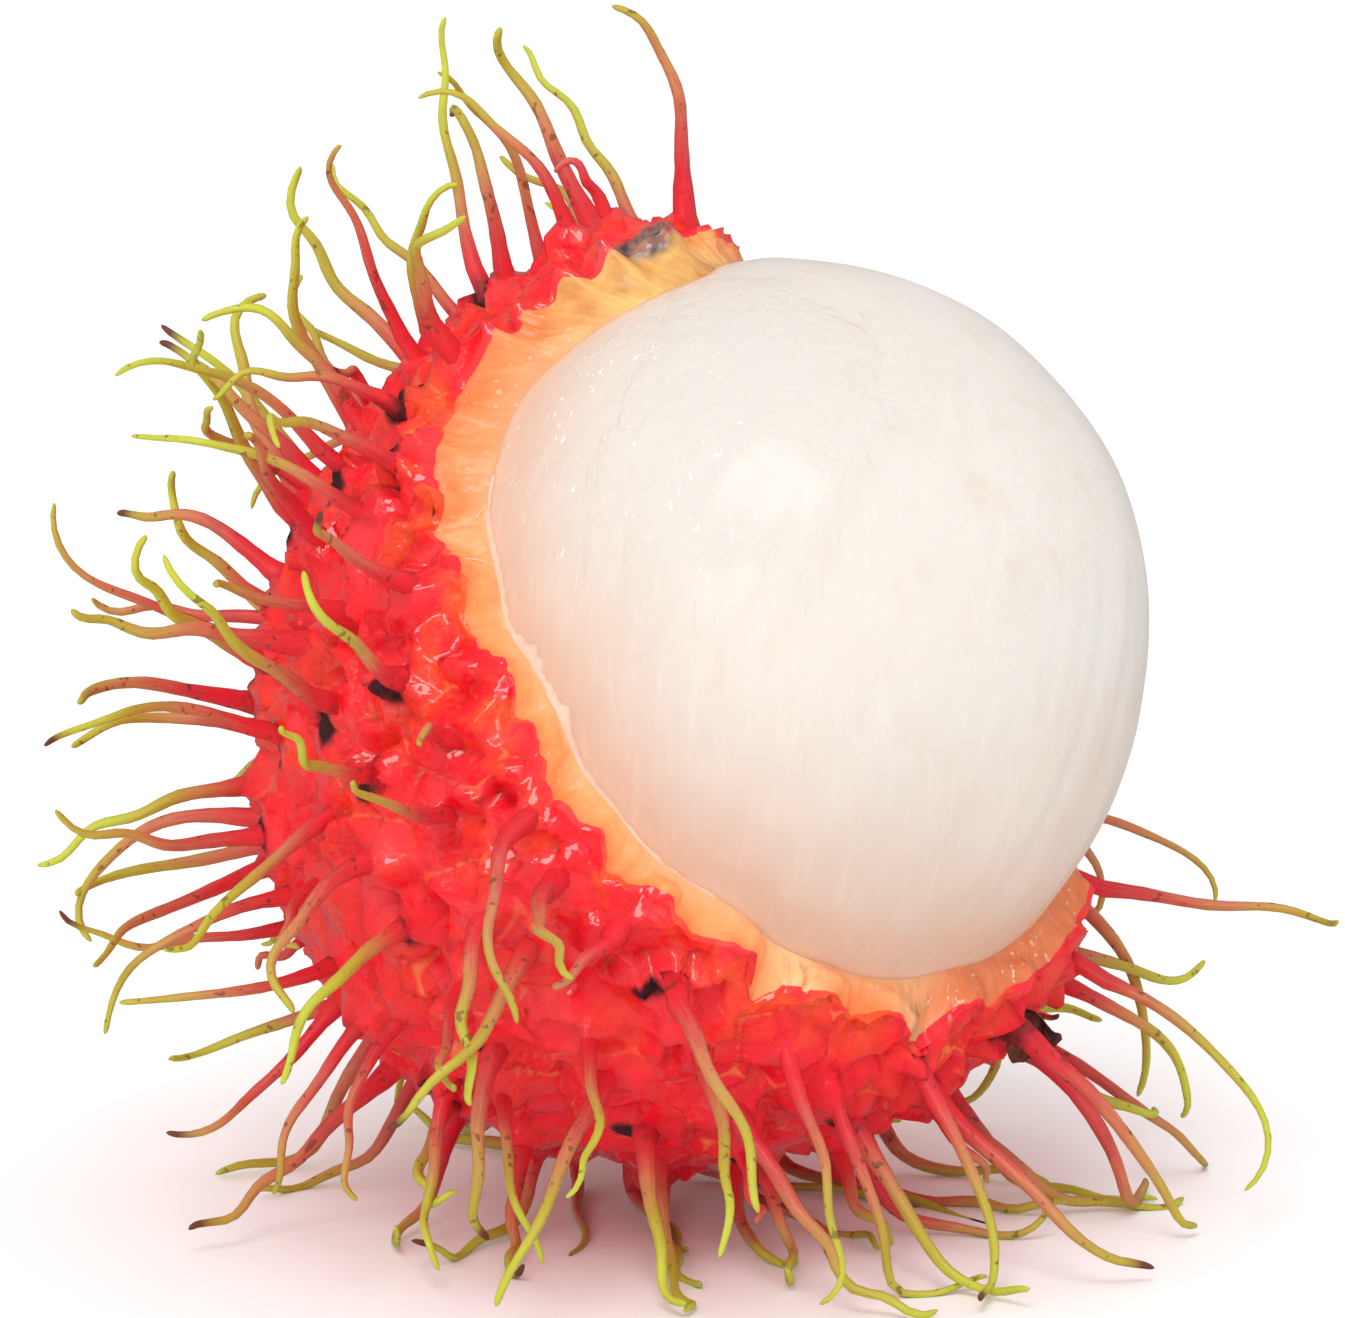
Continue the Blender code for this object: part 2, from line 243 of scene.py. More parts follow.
def unit_of(vectors):
    return vectors / np.maximum(np.linalg.norm(vectors, axis=-1, keepdims=True), 1e-12)


def stacked(*parts):
    """Vectors from arrays of their components, of any shapes that fit each other."""
    return np.stack(np.broadcast_arrays(*parts), axis=-1)


def round_turns(count):
    """Evenly spaced angles of one whole turn."""
    return np.arange(count) * TAU / count


def direction(lean, turn):
    """The unit vector of a place on the fruit, in the fruit's own axes."""
    return stacked(np.sin(lean) * np.cos(turn), np.sin(lean) * np.sin(turn), np.cos(lean))


def lean_and_turn(points):
    """The lean and turn of points in the fruit's own axes."""
    across = np.hypot(points[..., 0], points[..., 1])
    return np.arctan2(across, points[..., 2]), np.arctan2(points[..., 1], points[..., 0])


def fruit_axes():
    """Columns: the upward, the sideways and the outgoing axis of the fruit, in world axes."""
    flat = math.cos(AXIS_RISE)
    out = np.array([math.sin(AXIS_TURN) * flat, -math.cos(AXIS_TURN) * flat, math.sin(AXIS_RISE)])
    up = unit_of(np.array([0.0, 0.0, 1.0]) - out[2] * out)
    return np.stack([up, np.cross(out, up), out], axis=1)


AXES = fruit_axes()


def egg_radius(unit, height):
    """The distance from the centre to the blunt egg that lies this high over the flesh: the power
    sum of the shares across and along, to the power of minus one over the bluntness."""
    across = np.hypot(unit[..., 0], unit[..., 1]) / (FLESH_RADIUS + height)
    along = np.abs(unit[..., 2]) / (FLESH_HALF_LENGTH + height)
    return (across**BLUNTNESS + along**BLUNTNESS) ** (-1.0 / BLUNTNESS)


def egg_normal(unit, height):
    """The outward normal of that egg: the gradient of its power sum."""
    points = unit * egg_radius(unit, height)[..., None]
    wide, long = FLESH_RADIUS + height, FLESH_HALF_LENGTH + height
    across = np.hypot(points[..., 0], points[..., 1])
    spread = (across / wide) ** (BLUNTNESS - 1.0) / wide / np.maximum(across, 1e-9)
    rise = (np.abs(points[..., 2]) / long) ** (BLUNTNESS - 1.0) / long * np.sign(points[..., 2])
    return unit_of(stacked(points[..., 0] * spread, points[..., 1] * spread, rise))


def on_egg(lean, turn, height):
    """A point this high over the flesh, about the fruit's centre, in world axes."""
    unit = direction(lean, turn)
    return (unit * egg_radius(unit, height)[..., None]) @ AXES.T


def lip_lean(turn):
    """The lean of the opening's inner lip: the mean plus one cosine wave per row of the table."""
    lean = LIP_MEAN + 0.0 * turn
    for count, height, crest in LIP_WAVES + LIP_RIPPLES:
        lean = lean + height * np.cos(count * turn - math.radians(crest))
    return np.radians(lean)


def smooth_edge(turn):
    """The lean of the skin's edge without its teeth: past the lip by the band, wider at the top."""
    extra = BAND_EXTRA * ((1.0 + np.cos(turn - BAND_EXTRA_TURN)) / 2.0) ** 12
    return lip_lean(turn) + BAND + extra


def teeth(turn):
    """Pointed teeth: straight lines between knots that stand by turns before and behind the edge."""
    draw = np.random.default_rng(TEETH_SEED)
    knots = np.arange(2 * TEETH) * math.pi / TEETH
    knots += draw.uniform(-0.3, 0.3, 2 * TEETH) * math.pi / TEETH
    heights = draw.uniform(0.15, 1.0, 2 * TEETH) * np.where(np.arange(2 * TEETH) % 2, 0.5, -0.5)
    return TOOTH_HEIGHT * np.interp(turn % TAU, knots, heights, period=TAU)


def skin_lean(turn):
    return smooth_edge(turn) + teeth(turn)


def skin_height(lean, turn):
    """The height of the skin over the flesh, less near its torn edge."""
    from_edge = np.maximum(lean - skin_lean(turn), 0.0)
    return SKIN_TOP - EDGE_THINNING * np.exp(-from_edge / THINNING_REACH)


def spiral(count):
    """Unit vectors spread evenly over a sphere: equal steps of cosine, golden-angle steps of turn."""
    number = np.arange(count)
    return direction(np.arccos(1.0 - 2.0 * (number + 0.5) / count), number * math.pi * (3.0 - math.sqrt(5.0)))


def knob_directions():
    draw = np.random.default_rng(SPINE_SEED)
    unit = spiral(KNOBS)
    return unit_of(unit + draw.normal(0.0, KNOB_SCATTER, unit.shape))


def spine_knobs():
    """The knobs that are far enough from the torn edge to carry a spine."""
    unit = knob_directions()
    lean, turn = lean_and_turn(unit)
    return unit[lean > skin_lean(turn) + ROOT_FROM_EDGE]


def push_clear(points, clearance):
    """Moves points that lie under an egg this high over the flesh straight out to it."""
    local = points @ AXES
    distance = np.linalg.norm(local, axis=-1)
    wanted = egg_radius(local / distance[:, None], clearance)
    return points * (np.maximum(distance, wanted) / distance)[:, None]


def spine_paths():
    """The spines' centre lines about the fruit's centre, in world axes, their radii and lengths.

    Each leaves along the skin's normal, combed towards the opening in front and away from it at
    the back. Step by step its heading droops, turns more and more towards its tip, and flattens
    where it meets the ground.
    """
    unit = spine_knobs()
    count = len(unit)
    draw = np.random.default_rng(SPINE_SEED)
    length = draw.uniform(*SPINE_LENGTH, count)
    girth = draw.uniform(*SPINE_GIRTH, count)
    comb = draw.uniform(*SPINE_COMB, count)
    sideways = draw.normal(0.0, SPINE_SIDEWAYS, count)
    curl_turn = draw.uniform(0.0, TAU, count)
    curl = draw.uniform(*SPINE_CURL, count)
    hook = SPINE_HOOK * draw.uniform(0.0, 1.0, count) ** 2
    droop = draw.uniform(*SPINE_DROOP, count)
    stub = draw.uniform(0.0, 1.0, count) < STUB_SHARE
    length = np.where(stub, length * draw.uniform(*STUB_LENGTH, count), length)

    normal = egg_normal(unit, SKIN_TOP) @ AXES.T
    meridian = unit_of(AXES[:, 2] - normal * (normal @ AXES[:, 2:]))
    beside = np.cross(normal, meridian)
    comb = comb - BACK_COMB * np.clip(normal[:, 1] - 0.3, 0.0, 1.0)
    heading = unit_of(normal + comb[:, None] * meridian + sideways[:, None] * beside)
    side = unit_of(np.cross(heading, meridian))
    curl_axis = np.cos(curl_turn)[:, None] * side + np.sin(curl_turn)[:, None] * np.cross(side, heading)
    lowest = SPINE_PRESSED - CENTRE_HEIGHT
    root = egg_radius(unit, SKIN_TOP + KNOB_RISE / 2)[:, None] * (unit @ AXES.T)
    point = root - ROOT_DEPTH * normal
    path = [point]
    for k in range(1, SPINE_STEPS + 1):
        share = k / SPINE_STEPS
        bend = (curl * share + hook * max(0.0, share - 0.65)) / SPINE_STEPS
        heading = heading + np.cross(curl_axis, heading) * bend[:, None]
        heading = heading + meridian * (comb * math.exp(-3.0 * share) * 0.8 / SPINE_STEPS)[:, None]
        heading[:, 2] -= droop / SPINE_STEPS
        heading[:, 2] = np.maximum(heading[:, 2], (lowest - point[:, 2]) / LANDING)
        heading = unit_of(heading)
        point = point + heading * (length / SPINE_STEPS)[:, None]
        point = push_clear(point, SKIN_TOP + min(1.0, share * 2.5) * SPINE_CLEARANCE)
        point[:, 2] = np.maximum(point[:, 2], lowest)
        path.append(point)
    share = np.linspace(0.0, 1.0, SPINE_STEPS + 1)
    taper = SPINE_RADIUS + (TIP_RADIUS - SPINE_RADIUS) * share**1.5
    flare = (ROOT_RADIUS - SPINE_RADIUS) * np.exp(-((share / 0.11) ** 1.4))
    return np.stack(path, axis=1), girth[:, None] * (taper + flare), length


# ---------------------------------------------------------------- patterns worked out with numpy


def marks(turn, kind):
    """The sum of a kind's marks: each is its strength times the exponential of minus the squared
    distance in turn over its width."""
    total = 0.0
    for middle, width, strength in MARKS[kind]:
        away = np.abs((turn - math.radians(middle) + math.pi) % TAU - math.pi)
        total = total + strength * np.exp(-((away / math.radians(width)) ** 2))
    return total


def ripple(turn, across, counts, seed, slope=2.0, waves=14):
    """Noise round the axis: the mean of cosines with random whole counts round, phases and slopes."""
    draw = np.random.default_rng(seed)
    total = 0.0
    for _ in range(waves):
        count = draw.integers(counts[0], counts[1] + 1)
        total = total + np.cos(count * turn + draw.normal(0.0, slope) * across + draw.uniform(0.0, 6.3))
    return total / math.sqrt(waves / 2.0)


def clouds(points, wavelength, seed, waves=24):
    """Noise in space: the mean of cosines of the points along random directions, near one wavelength."""
    draw = np.random.default_rng(seed)
    waving = unit_of(draw.normal(0.0, 1.0, (waves, 3))) * draw.uniform(0.6, 1.4, (waves, 1))
    phase = draw.uniform(0.0, TAU, waves)
    total = 0.0
    for wave, start in zip(waving, phase):
        total = total + np.cos(points @ wave * (TAU / wavelength) + start)
    return total / math.sqrt(waves / 2.0)


def slices(count, size=6000):
    return [slice(start, start + size) for start in range(0, count, size)]


def cell_blend(unit, seeds, values, sharpness):
    """Cells round seeds: each point takes the mean of the seeds' values, weighted by the exponential
    of sharpness times the cosine to the seed. Also 0 inside a cell, rising to its borders."""
    unit, seeds, values = (part.astype(np.float32) for part in (unit, seeds, values))
    blended = np.empty((len(unit), values.shape[1]))
    border = np.empty(len(unit))
    for part in slices(len(unit)):
        cosine = unit[part] @ seeds.T
        weight = np.exp(sharpness * (cosine - cosine.max(axis=1, keepdims=True)))
        total = weight.sum(axis=1)
        blended[part] = (weight @ values) / total[:, None]
        border[part] = 1.0 - 1.0 / total
    return blended, np.clip(border * 2.0, 0.0, 1.0)


def facet_relief(unit, count, tilt, sharpness, seed):
    """Flat facets: every cell is a plane through its seed with a random slope, some of them sunk.
    Gives the relief, 1 on the borders between cells, and each cell's tone from 0 to 1:
    random, and highest in the sunk cells, where the skin paints its deepest red as painted shade."""
    draw = np.random.default_rng(seed)
    seeds = spiral(count)
    seeds = unit_of(seeds + draw.normal(0.0, 0.35 / math.sqrt(count), seeds.shape))
    slope = draw.normal(0.0, tilt, seeds.shape)
    slope -= seeds * (slope * seeds).sum(axis=1, keepdims=True)
    tone = draw.uniform(0.0, 1.0, (count, 1))
    offset = -(slope * seeds).sum(axis=1, keepdims=True) - (tone > 1.0 - PIT_SHARE) * PIT_DEPTH / SKIN_RADIUS
    planes, border = cell_blend(unit, seeds, np.hstack([offset, slope, tone]), sharpness)
    return SKIN_RADIUS * (planes[:, 0] + (planes[:, 1:4] * unit).sum(axis=1)), border, planes[:, 4]


def bumps_at(unit, centres, width, power, values):
    """Sums, over the centres, their values times the exponential of minus (angle / width)^power."""
    total = np.zeros((len(unit), values.shape[1]))
    for part in slices(len(unit)):
        angle = np.arccos(np.clip(unit[part] @ centres.T, -1.0, 1.0))
        total[part] = np.exp(-((angle / width) ** power)) @ values
    return total


# ---------------------------------------------------------------- meshes


def rings_mesh(name, rings, ends):
    """A mesh of closed forms from rings of points: shape (forms, rings, points round, 3), with a
    pole for both ends of each form, shape (forms, 2, 3). Faces point outwards."""
    forms, rows, columns = rings.shape[:3]
    number = np.arange(forms * rows * columns).reshape(forms, rows, columns)
    beside = np.roll(number, -1, axis=2)
    quads = np.stack([number[:, :-1], beside[:, :-1], beside[:, 1:], number[:, 1:]], axis=-1)
    first = forms * rows * columns + np.arange(forms)[:, None].repeat(columns, axis=1)
    start = np.stack([first, beside[:, 0], number[:, 0]], axis=-1)
    finish = np.stack([first + forms, number[:, -1], beside[:, -1]], axis=-1)
    points = np.concatenate([rings.reshape(-1, 3), ends[:, 0], ends[:, 1]])
    quads, corners = quads.reshape(-1, 4), np.concatenate([start.reshape(-1, 3), finish.reshape(-1, 3)])
    a, b, c, d = (points[quads[:, k]] for k in range(4))
    if (a * np.cross(b, c)).sum() + (a * np.cross(c, d)).sum() < 0.0:
        quads, corners = quads[:, ::-1], corners[:, ::-1]
    mesh = bpy.data.meshes.new(name)
    mesh.from_pydata((points + CENTRE).tolist(), [], quads.tolist() + corners.tolist())
    mesh.shade_smooth()
    if mesh.validate():
        raise RuntimeError(f"{name} has a broken mesh")
    return mesh


def middles(rings):
    """A pole for both ends of each form: the mean of its first and of its last ring."""
    return np.stack([rings[:, 0].mean(axis=1), rings[:, -1].mean(axis=1)], axis=1)


def paint(mesh, shape, **layers):
    """Stores numbers or vectors for the material on a rings_mesh, of shape (forms, rings, points
    round): the rings' values, then their means at each form's poles."""
    for name, values in layers.items():
        values = np.broadcast_to(values, (*shape, *np.shape(values)[3:]))
        kind, key = ("FLOAT_VECTOR", "vector") if values.ndim > 3 else ("FLOAT", "value")
        flat = [values.reshape(-1, *values.shape[3:]), values[:, 0].mean(axis=1), values[:, -1].mean(axis=1)]
        layer = mesh.attributes.new(name, kind, "POINT")
        layer.data.foreach_set(key, np.concatenate(flat).astype(np.float32).ravel())


def make_piece(mesh, material):
    """Puts a finished mesh into the scene, riding on the fruit."""
    old = bpy.data.objects.get(mesh.name)
    if old:
        bpy.data.objects.remove(old, do_unlink=True)
    mesh.materials.append(material)
    piece = bpy.data.objects.new(mesh.name, mesh)
    bpy.context.scene.collection.objects.link(piece)
    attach(piece, "root")
    return piece


def cross_frames(paths):
    """Two unit vectors across each path at each of its points, carried along without twisting."""
    along = unit_of(np.gradient(paths, axis=1))
    across = unit_of(np.cross(along[:, 0], [0.3, 0.5, 0.8]))
    first = []
    for k in range(paths.shape[1]):
        across = unit_of(across - along[:, k] * (across * along[:, k]).sum(axis=-1, keepdims=True))
        first.append(across)
    first = np.stack(first, axis=1)
    return first, np.cross(along, first)


def tube_rings(paths, radii, sides, ridges=0.0):
    """Rings round paths: the path plus radius times the cosine and sine of the angle on the two
    cross vectors, with three lengthwise ridges that raise the radius by a share."""
    first, second = cross_frames(paths)
    angle = round_turns(sides)
    swell = 1.0 + ridges * np.cos(3.0 * angle)
    across = first[:, :, None] * np.cos(angle)[:, None] + second[:, :, None] * np.sin(angle)[:, None]
    return paths[:, :, None] + (radii[:, :, None] * swell)[..., None] * across


# ---------------------------------------------------------------- material nodes


class Wire:
    """One output in a graph. Arithmetic on it adds Math nodes."""

    def __init__(self, graph, socket):
        self.graph, self.socket = graph, socket

    def __add__(self, other):
        return self.graph.calc("ADD", self, other)

    def __sub__(self, other):
        return self.graph.calc("SUBTRACT", self, other)

    def __mul__(self, other):
        return self.graph.calc("MULTIPLY", self, other)

    def __pow__(self, other):
        return self.graph.calc("POWER", self, other)

    def fade(self, low, high, to_low=0.0, to_high=1.0, kind="LINEAR"):
        """Runs from to_low to to_high while the wire runs from low to high, and stays there."""
        inputs = {"Value": self, "From Min": low, "From Max": high, "To Min": to_low, "To Max": to_high}
        return self.graph.wire("MapRange", inputs, interpolation_type=kind, clamp=True)

    def ease(self, low, high, to_low=0.0, to_high=1.0):
        """The same with soft ends."""
        return self.fade(low, high, to_low, to_high, "SMOOTHSTEP")

    def mix(self, a, b):
        """Colour a where the wire is 0, colour b where it is 1."""
        a, b = (tint if isinstance(tint, Wire) else (*tint, 1.0) for tint in (a, b))
        return self.graph.wire("Mix", {"Factor": self, 6: a, 7: b}, 2, data_type="RGBA")

    def choose(self, a, b):
        """Number a where the wire is 0, number b where it is 1."""
        return self.graph.wire("Mix", {"Factor": self, 2: a, 3: b})


class Graph:
    """A node tree, and shorthands for the nodes that are added to it."""

    def __init__(self, tree):
        self.tree = tree

    def node(self, kind, inputs, **settings):
        """Adds a node. An input is given by name or number, as a value or as a wire to link."""
        made = self.tree.nodes.new("ShaderNode" + kind)
        for name, value in settings.items():
            setattr(made, name, value)
        self.give(made, inputs)
        return made

    def give(self, made, inputs):
        for name, value in inputs.items():
            if isinstance(value, Wire):
                self.tree.links.new(value.socket, made.inputs[name])
            else:
                made.inputs[name].default_value = value

    def wire(self, kind, inputs, output=0, **settings):
        return Wire(self, self.node(kind, inputs, **settings).outputs[output])

    def calc(self, operation, *values):
        return self.wire("Math", dict(enumerate(values)), operation=operation)

    def place(self):
        return self.wire("TexCoord", {}, "Object")

    def read(self, name, output="Fac"):
        return self.wire("Attribute", {}, output, attribute_name=name)

    def reads(self, names):
        """Attributes for the sockets of these names."""
        return {name: self.read(name.lower()) for name in names.split()}

    def noise(self, vector, scale, detail=2.0, roughness=0.5, distortion=0.0):
        inputs = {"Vector": vector, "Scale": scale, "Detail": detail, "Roughness": roughness}
        return self.wire("TexNoise", {**inputs, "Distortion": distortion})

    def group(self, name, **inputs):
        """Places a group and returns its outputs by name."""
        made = self.node("Group", inputs, node_tree=bpy.data.node_groups[name])
        return {socket.name: Wire(self, socket) for socket in made.outputs}

    def bump(self, height, distance):
        return self.wire("Bump", {"Height": height, "Distance": distance, "Strength": 1.0})


SOCKET_KINDS = {"Place": "Vector", "Grain": "Vector", "Color": "Color"}


def new_group(name, inputs, outputs):
    """An empty shader node group with named sockets: its graph, its input wires and its output node."""
    old = bpy.data.node_groups.get(name)
    if old:
        bpy.data.node_groups.remove(old)
    tree = bpy.data.node_groups.new(name, "ShaderNodeTree")
    for way, sockets in (("INPUT", inputs), ("OUTPUT", outputs)):
        for socket in sockets.split():
            kind = "NodeSocket" + SOCKET_KINDS.get(socket, "Float")
            tree.interface.new_socket(socket, in_out=way, socket_type=kind)
    graph = Graph(tree)
    begin = tree.nodes.new("NodeGroupInput").outputs
    return graph, {name: Wire(graph, begin[name]) for name in inputs.split()}, tree.nodes.new("NodeGroupOutput")


def new_material(name, **settings):
    """A material with a Principled shader whose named sockets take these plain values."""
    old = bpy.data.materials.get(name)
    if old:
        bpy.data.materials.remove(old)
    made = bpy.data.materials.new(name)
    made.use_nodes = True
    shader = made.node_tree.nodes["Principled BSDF"]
    for socket, value in settings.items():
        shader.inputs[socket.replace("_", " ")].default_value = value
    return made, Graph(made.node_tree), shader


def specks_group():
    """Small scattered spots: a noise cut off high, thinned out by a coarser one."""
    graph, given, end = new_group("Scattered specks", "Place Scale Cut", "Mask")
    fine = graph.noise(given["Place"], given["Scale"], 1.0)
    coarse = graph.noise(given["Place"], given["Scale"] * 0.17, 1.0)
    graph.give(end, {"Mask": (coarse * 0.35 + fine - given["Cut"]).ease(0.0, 0.05)})


def facets_group():
    """Small flat facets for a wet, crumpled skin: each cell is a plane with a random slope."""
    graph, given, end = new_group("Small facets", "Place Scale", "Height Cell")
    middle = (0.5, 0.5, 0.5)

    def vector(operation, a, b, output=0):
        inputs = {0: a, "Scale" if operation == "SCALE" else 1: b}
        return graph.wire("VectorMath", inputs, output, operation=operation)

    noise = {"Vector": given["Place"], "Scale": 420.0, "Detail": 2.0}
    warp = vector("SUBTRACT", graph.wire("TexNoise", noise, "Color"), middle)
    bent = vector("ADD", given["Place"], vector("SCALE", warp, 0.0009))
    cells = graph.node("TexVoronoi", {"Vector": bent, "Scale": given["Scale"], "Randomness": 1.0})
    tint, seed = Wire(graph, cells.outputs["Color"]), Wire(graph, cells.outputs["Position"])
    away = vector("SCALE", vector("SUBTRACT", bent, seed), given["Scale"])
    height = vector("DOT_PRODUCT", away, vector("SUBTRACT", tint, middle), "Value")
    graph.give(end, {"Height": height, "Cell": graph.wire("SeparateColor", {0: tint})})


def skin_group(settings):
    """The red skin: bright and deep red clouds, with the deepest red in the sunk pits as painted shade;
    painted shade that makes it deeper and duller towards the floor; orange mottling and seams, mauve at
    the roots of the spines, near-black stains behind them."""
    sockets = "Place Root Seam Crease Edge Stain Scar Tone"
    graph, given, end = new_group("Rambutan skin", sockets, "Color Roughness Gloss Height")
    where, tone = given["Place"], given["Tone"]
    facets = graph.group("Small facets", Place=where, Scale=1150.0)
    wide = graph.noise(where, 260.0, 3.0, 0.55)
    fine = graph.noise(where, 1500.0, 3.0, 0.6)
    # Painted shade: the sunk pits carry the highest values, so they take the deep red; elsewhere the deep red
    # falls in random clouds
    depth = tone * 0.3 + (facets["Cell"] * 0.25 + wide)
    tint = depth.fade(0.55, 0.95).mix(settings.skin_colour, settings.deep_colour)
    pink = graph.noise(where, 430.0) * 0.8 + tone * -0.35
    tint = pink.fade(0.22, 0.42, 0.0, 0.7).mix(tint, settings.pink_colour)
    # Painted shade: towards the floor the skin is painted a deeper red, with less orange mottling and less
    # gloss
    low = graph.wire("SeparateXYZ", {0: where}, "Z").ease(0.002, 0.016, 1.0, 0.0)
    tint = (low * 0.7).mix(tint, PAINTED_SHADE_LOW_RED)
    mottle = graph.noise(where, 330.0, 4.0, 0.6, 0.6).ease(0.46, 0.64)
    near = (given["Edge"] * 0.6 + 0.26) * (low * -0.6 + 1.0)
    tint = (mottle * near).mix(tint, settings.orange_colour)
    patchy = graph.noise(where, 170.0).fade(0.42, 0.6)
    seam = given["Seam"].fade(0.7, 1.0, 0.0, 0.75) * patchy
    line = given["Crease"].fade(0.6, 1.0, 0.0, 0.35) * patchy
    tint = graph.calc("MAXIMUM", seam, line).mix(tint, settings.seam_colour)
    tint = given["Root"].fade(0.35, 0.95, 0.0, 0.7).mix(tint, settings.root_colour)
    crust = fine.fade(0.35, 0.65).mix(CRUST_DARK, CRUST_BROWN)
    tint = (wide * 0.6 + given["Scar"]).ease(0.55, 0.95).mix(tint, crust)
    dark = ((fine - 0.5) * 0.9 + given["Stain"]).ease(0.28, 0.8, 0.0, 0.97)
    outputs = {
        "Color": dark.mix(tint, STAIN_BLACK),
        "Roughness": (fine + dark * 0.6).fade(0.3, 1.2, 0.2, 0.62),
        "Gloss": dark.fade(0.0, 0.6, 0.85, 0.02) * (low * -0.85 + 1.0),
        "Height": fine * 0.5 + facets["Height"] * 2.2,
    }
    graph.give(end, outputs)


def pith_group(settings):
    """The torn pith: orange outside to cream at the lip, with fibres across it, deeper orange in
    one place and the same deeper orange as painted shade on its upper side, olive and grey-violet in another."""
    sockets = "Place Grain Across Deep Olive Scar Pale"
    graph, given, end = new_group("Torn pith", sockets, "Color Roughness Height")
    where = given["Place"]
    soft = graph.noise(where, 420.0, 3.0, 0.6)
    fibre = graph.noise(given["Grain"], 1.0, 3.0, 0.55)
    level = (fibre - 0.5) * 0.3 + ((soft - 0.5) * 0.9 + given["Across"])
    stops = ((0.0, settings.pith_outer), (0.45, settings.pith_middle), (0.95, settings.pith_inner))
    tint = colour_ramp(graph, level, stops)
    tint = given["Pale"].fade(0.15, 1.0, 0.0, 0.75).mix(tint, TUFT_CREAM)
    # Deeper orange: the pith's own colour round 205 degrees, painted shade round 48 degrees
    tint = given["Deep"].mix(tint, fibre.mix(*PITH_DEEP_AND_SHADED))
    tint = given["Olive"].mix(tint, (fibre * 0.5 + soft).fade(0.55, 0.95).mix(*PITH_OLIVE))
    crust = graph.noise(where, 1500.0, 3.0, 0.6).fade(0.38, 0.62).mix(CRUST_DARK, CRUST_GREY)
    tint = (soft * 0.6 + given["Scar"]).ease(0.5, 0.95).mix(tint, crust)
    specks = graph.group("Scattered specks", Place=where, Scale=3600.0, Cut=0.875)
    outputs = {
        "Color": (specks["Mask"] * (given["Deep"] * 0.5 + 0.12)).mix(tint, PITH_SPECK),
        "Roughness": soft.fade(0.3, 0.7, 0.26, 0.44),
        "Height": fibre * 0.22 + soft * 0.4,
    }
    graph.give(end, outputs)


def colour_ramp(graph, value, stops):
    """A colour that runs through stops, each a position and a colour."""
    made = graph.node("ValToRGB", {0: value})
    elements = made.color_ramp.elements
    for _ in stops[2:]:
        elements.new(1.0)
    for element, (spot, tint) in zip(elements, stops):
        element.position, element.color = spot, (*tint, 1.0)
    return Wire(graph, made.outputs[0])


def rind_material():
    """Skin and torn pith, parted along a ragged line."""
    made, graph, shader = new_material(
        "rind_skin_and_pith",
        Subsurface_Weight=0.1,
        Subsurface_Radius=(1.0, 0.28, 0.14),
        Subsurface_Scale=0.9 * MM,
        Specular_IOR_Level=0.3,
        Coat_Roughness=0.08,
        Coat_IOR=1.62,
    )
    where = graph.place()
    skin = graph.group("Rambutan skin", Place=where, **graph.reads("Root Seam Crease Edge Stain Scar Tone"))
    grain = graph.read("grain", "Vector")
    pith = graph.group("Torn pith", Place=where, Grain=grain, **graph.reads("Across Deep Olive Scar Pale"))
    band = ((graph.noise(where, 1400.0) - 0.5) * 0.5 + graph.read("band")).fade(0.4, 0.62)
    skin_relief = (skin["Height"] - 0.25) * (graph.read("edge") ** 7.0 * -0.7 + 1.0)
    pith_relief = (pith["Height"] - 0.3) * graph.read("across").fade(0.04, 0.2)
    inputs = {
        "Base Color": band.mix(skin["Color"], pith["Color"]),
        "Roughness": band.choose(skin["Roughness"], pith["Roughness"]),
        "Coat Weight": band.choose(skin["Gloss"], 0.1),
        "Normal": graph.bump(band.choose(skin_relief, pith_relief), 0.2 * MM),
    }
    graph.give(shader, inputs)
    return made


def spine_material(rind, settings):
    """Soft spines: mauve roots, brown above them, yellow-green tips, with blotches and specks."""
    plain = {"Specular_IOR_Level": 0.25, "Coat_Weight": 0.15, "Coat_Roughness": 0.2}
    made, graph, shader = new_material("soft_spines", **plain)
    where, ripeness = graph.place(), graph.read("ripeness")
    streak = graph.noise(graph.read("grain", "Vector"), 1.0, 3.0, 0.6)
    stops = [
        (0.05, rind.root_colour),
        (0.2, settings.lower_colour),
        (0.38, settings.middle_colour),
        (0.55, settings.upper_colour),
        (0.9, settings.tip_colour),
    ]
    tint = colour_ramp(graph, (streak - 0.5) * 0.45 + ripeness, stops)
    skin = graph.group("Rambutan skin", Place=where, Root=0.9, Stain=graph.read("stain"), Tone=0.5)
    tint = graph.read("root").mix(tint, skin["Color"])
    brown = graph.noise(where, 520.0).fade(0.52, 0.72, 0.0, 0.3) * ripeness.fade(0.1, 0.7, 1.0, 0.2)
    tint = brown.mix(tint, SPINE_BROWN)
    specks = graph.group("Scattered specks", Place=where, Scale=2700.0, Cut=0.85)
    tint = (specks["Mask"] * 0.6).mix(tint, SPINE_SPECK)
    inputs = {
        "Base Color": graph.read("dry").mix(tint, SPINE_DRIED),
        "Roughness": streak.fade(0.3, 0.7, 0.34, 0.5),
        "Normal": graph.bump(streak * 0.8 + graph.noise(where, 2400.0) * 0.35, 0.06 * MM),
    }
    graph.give(shader, inputs)
    return made


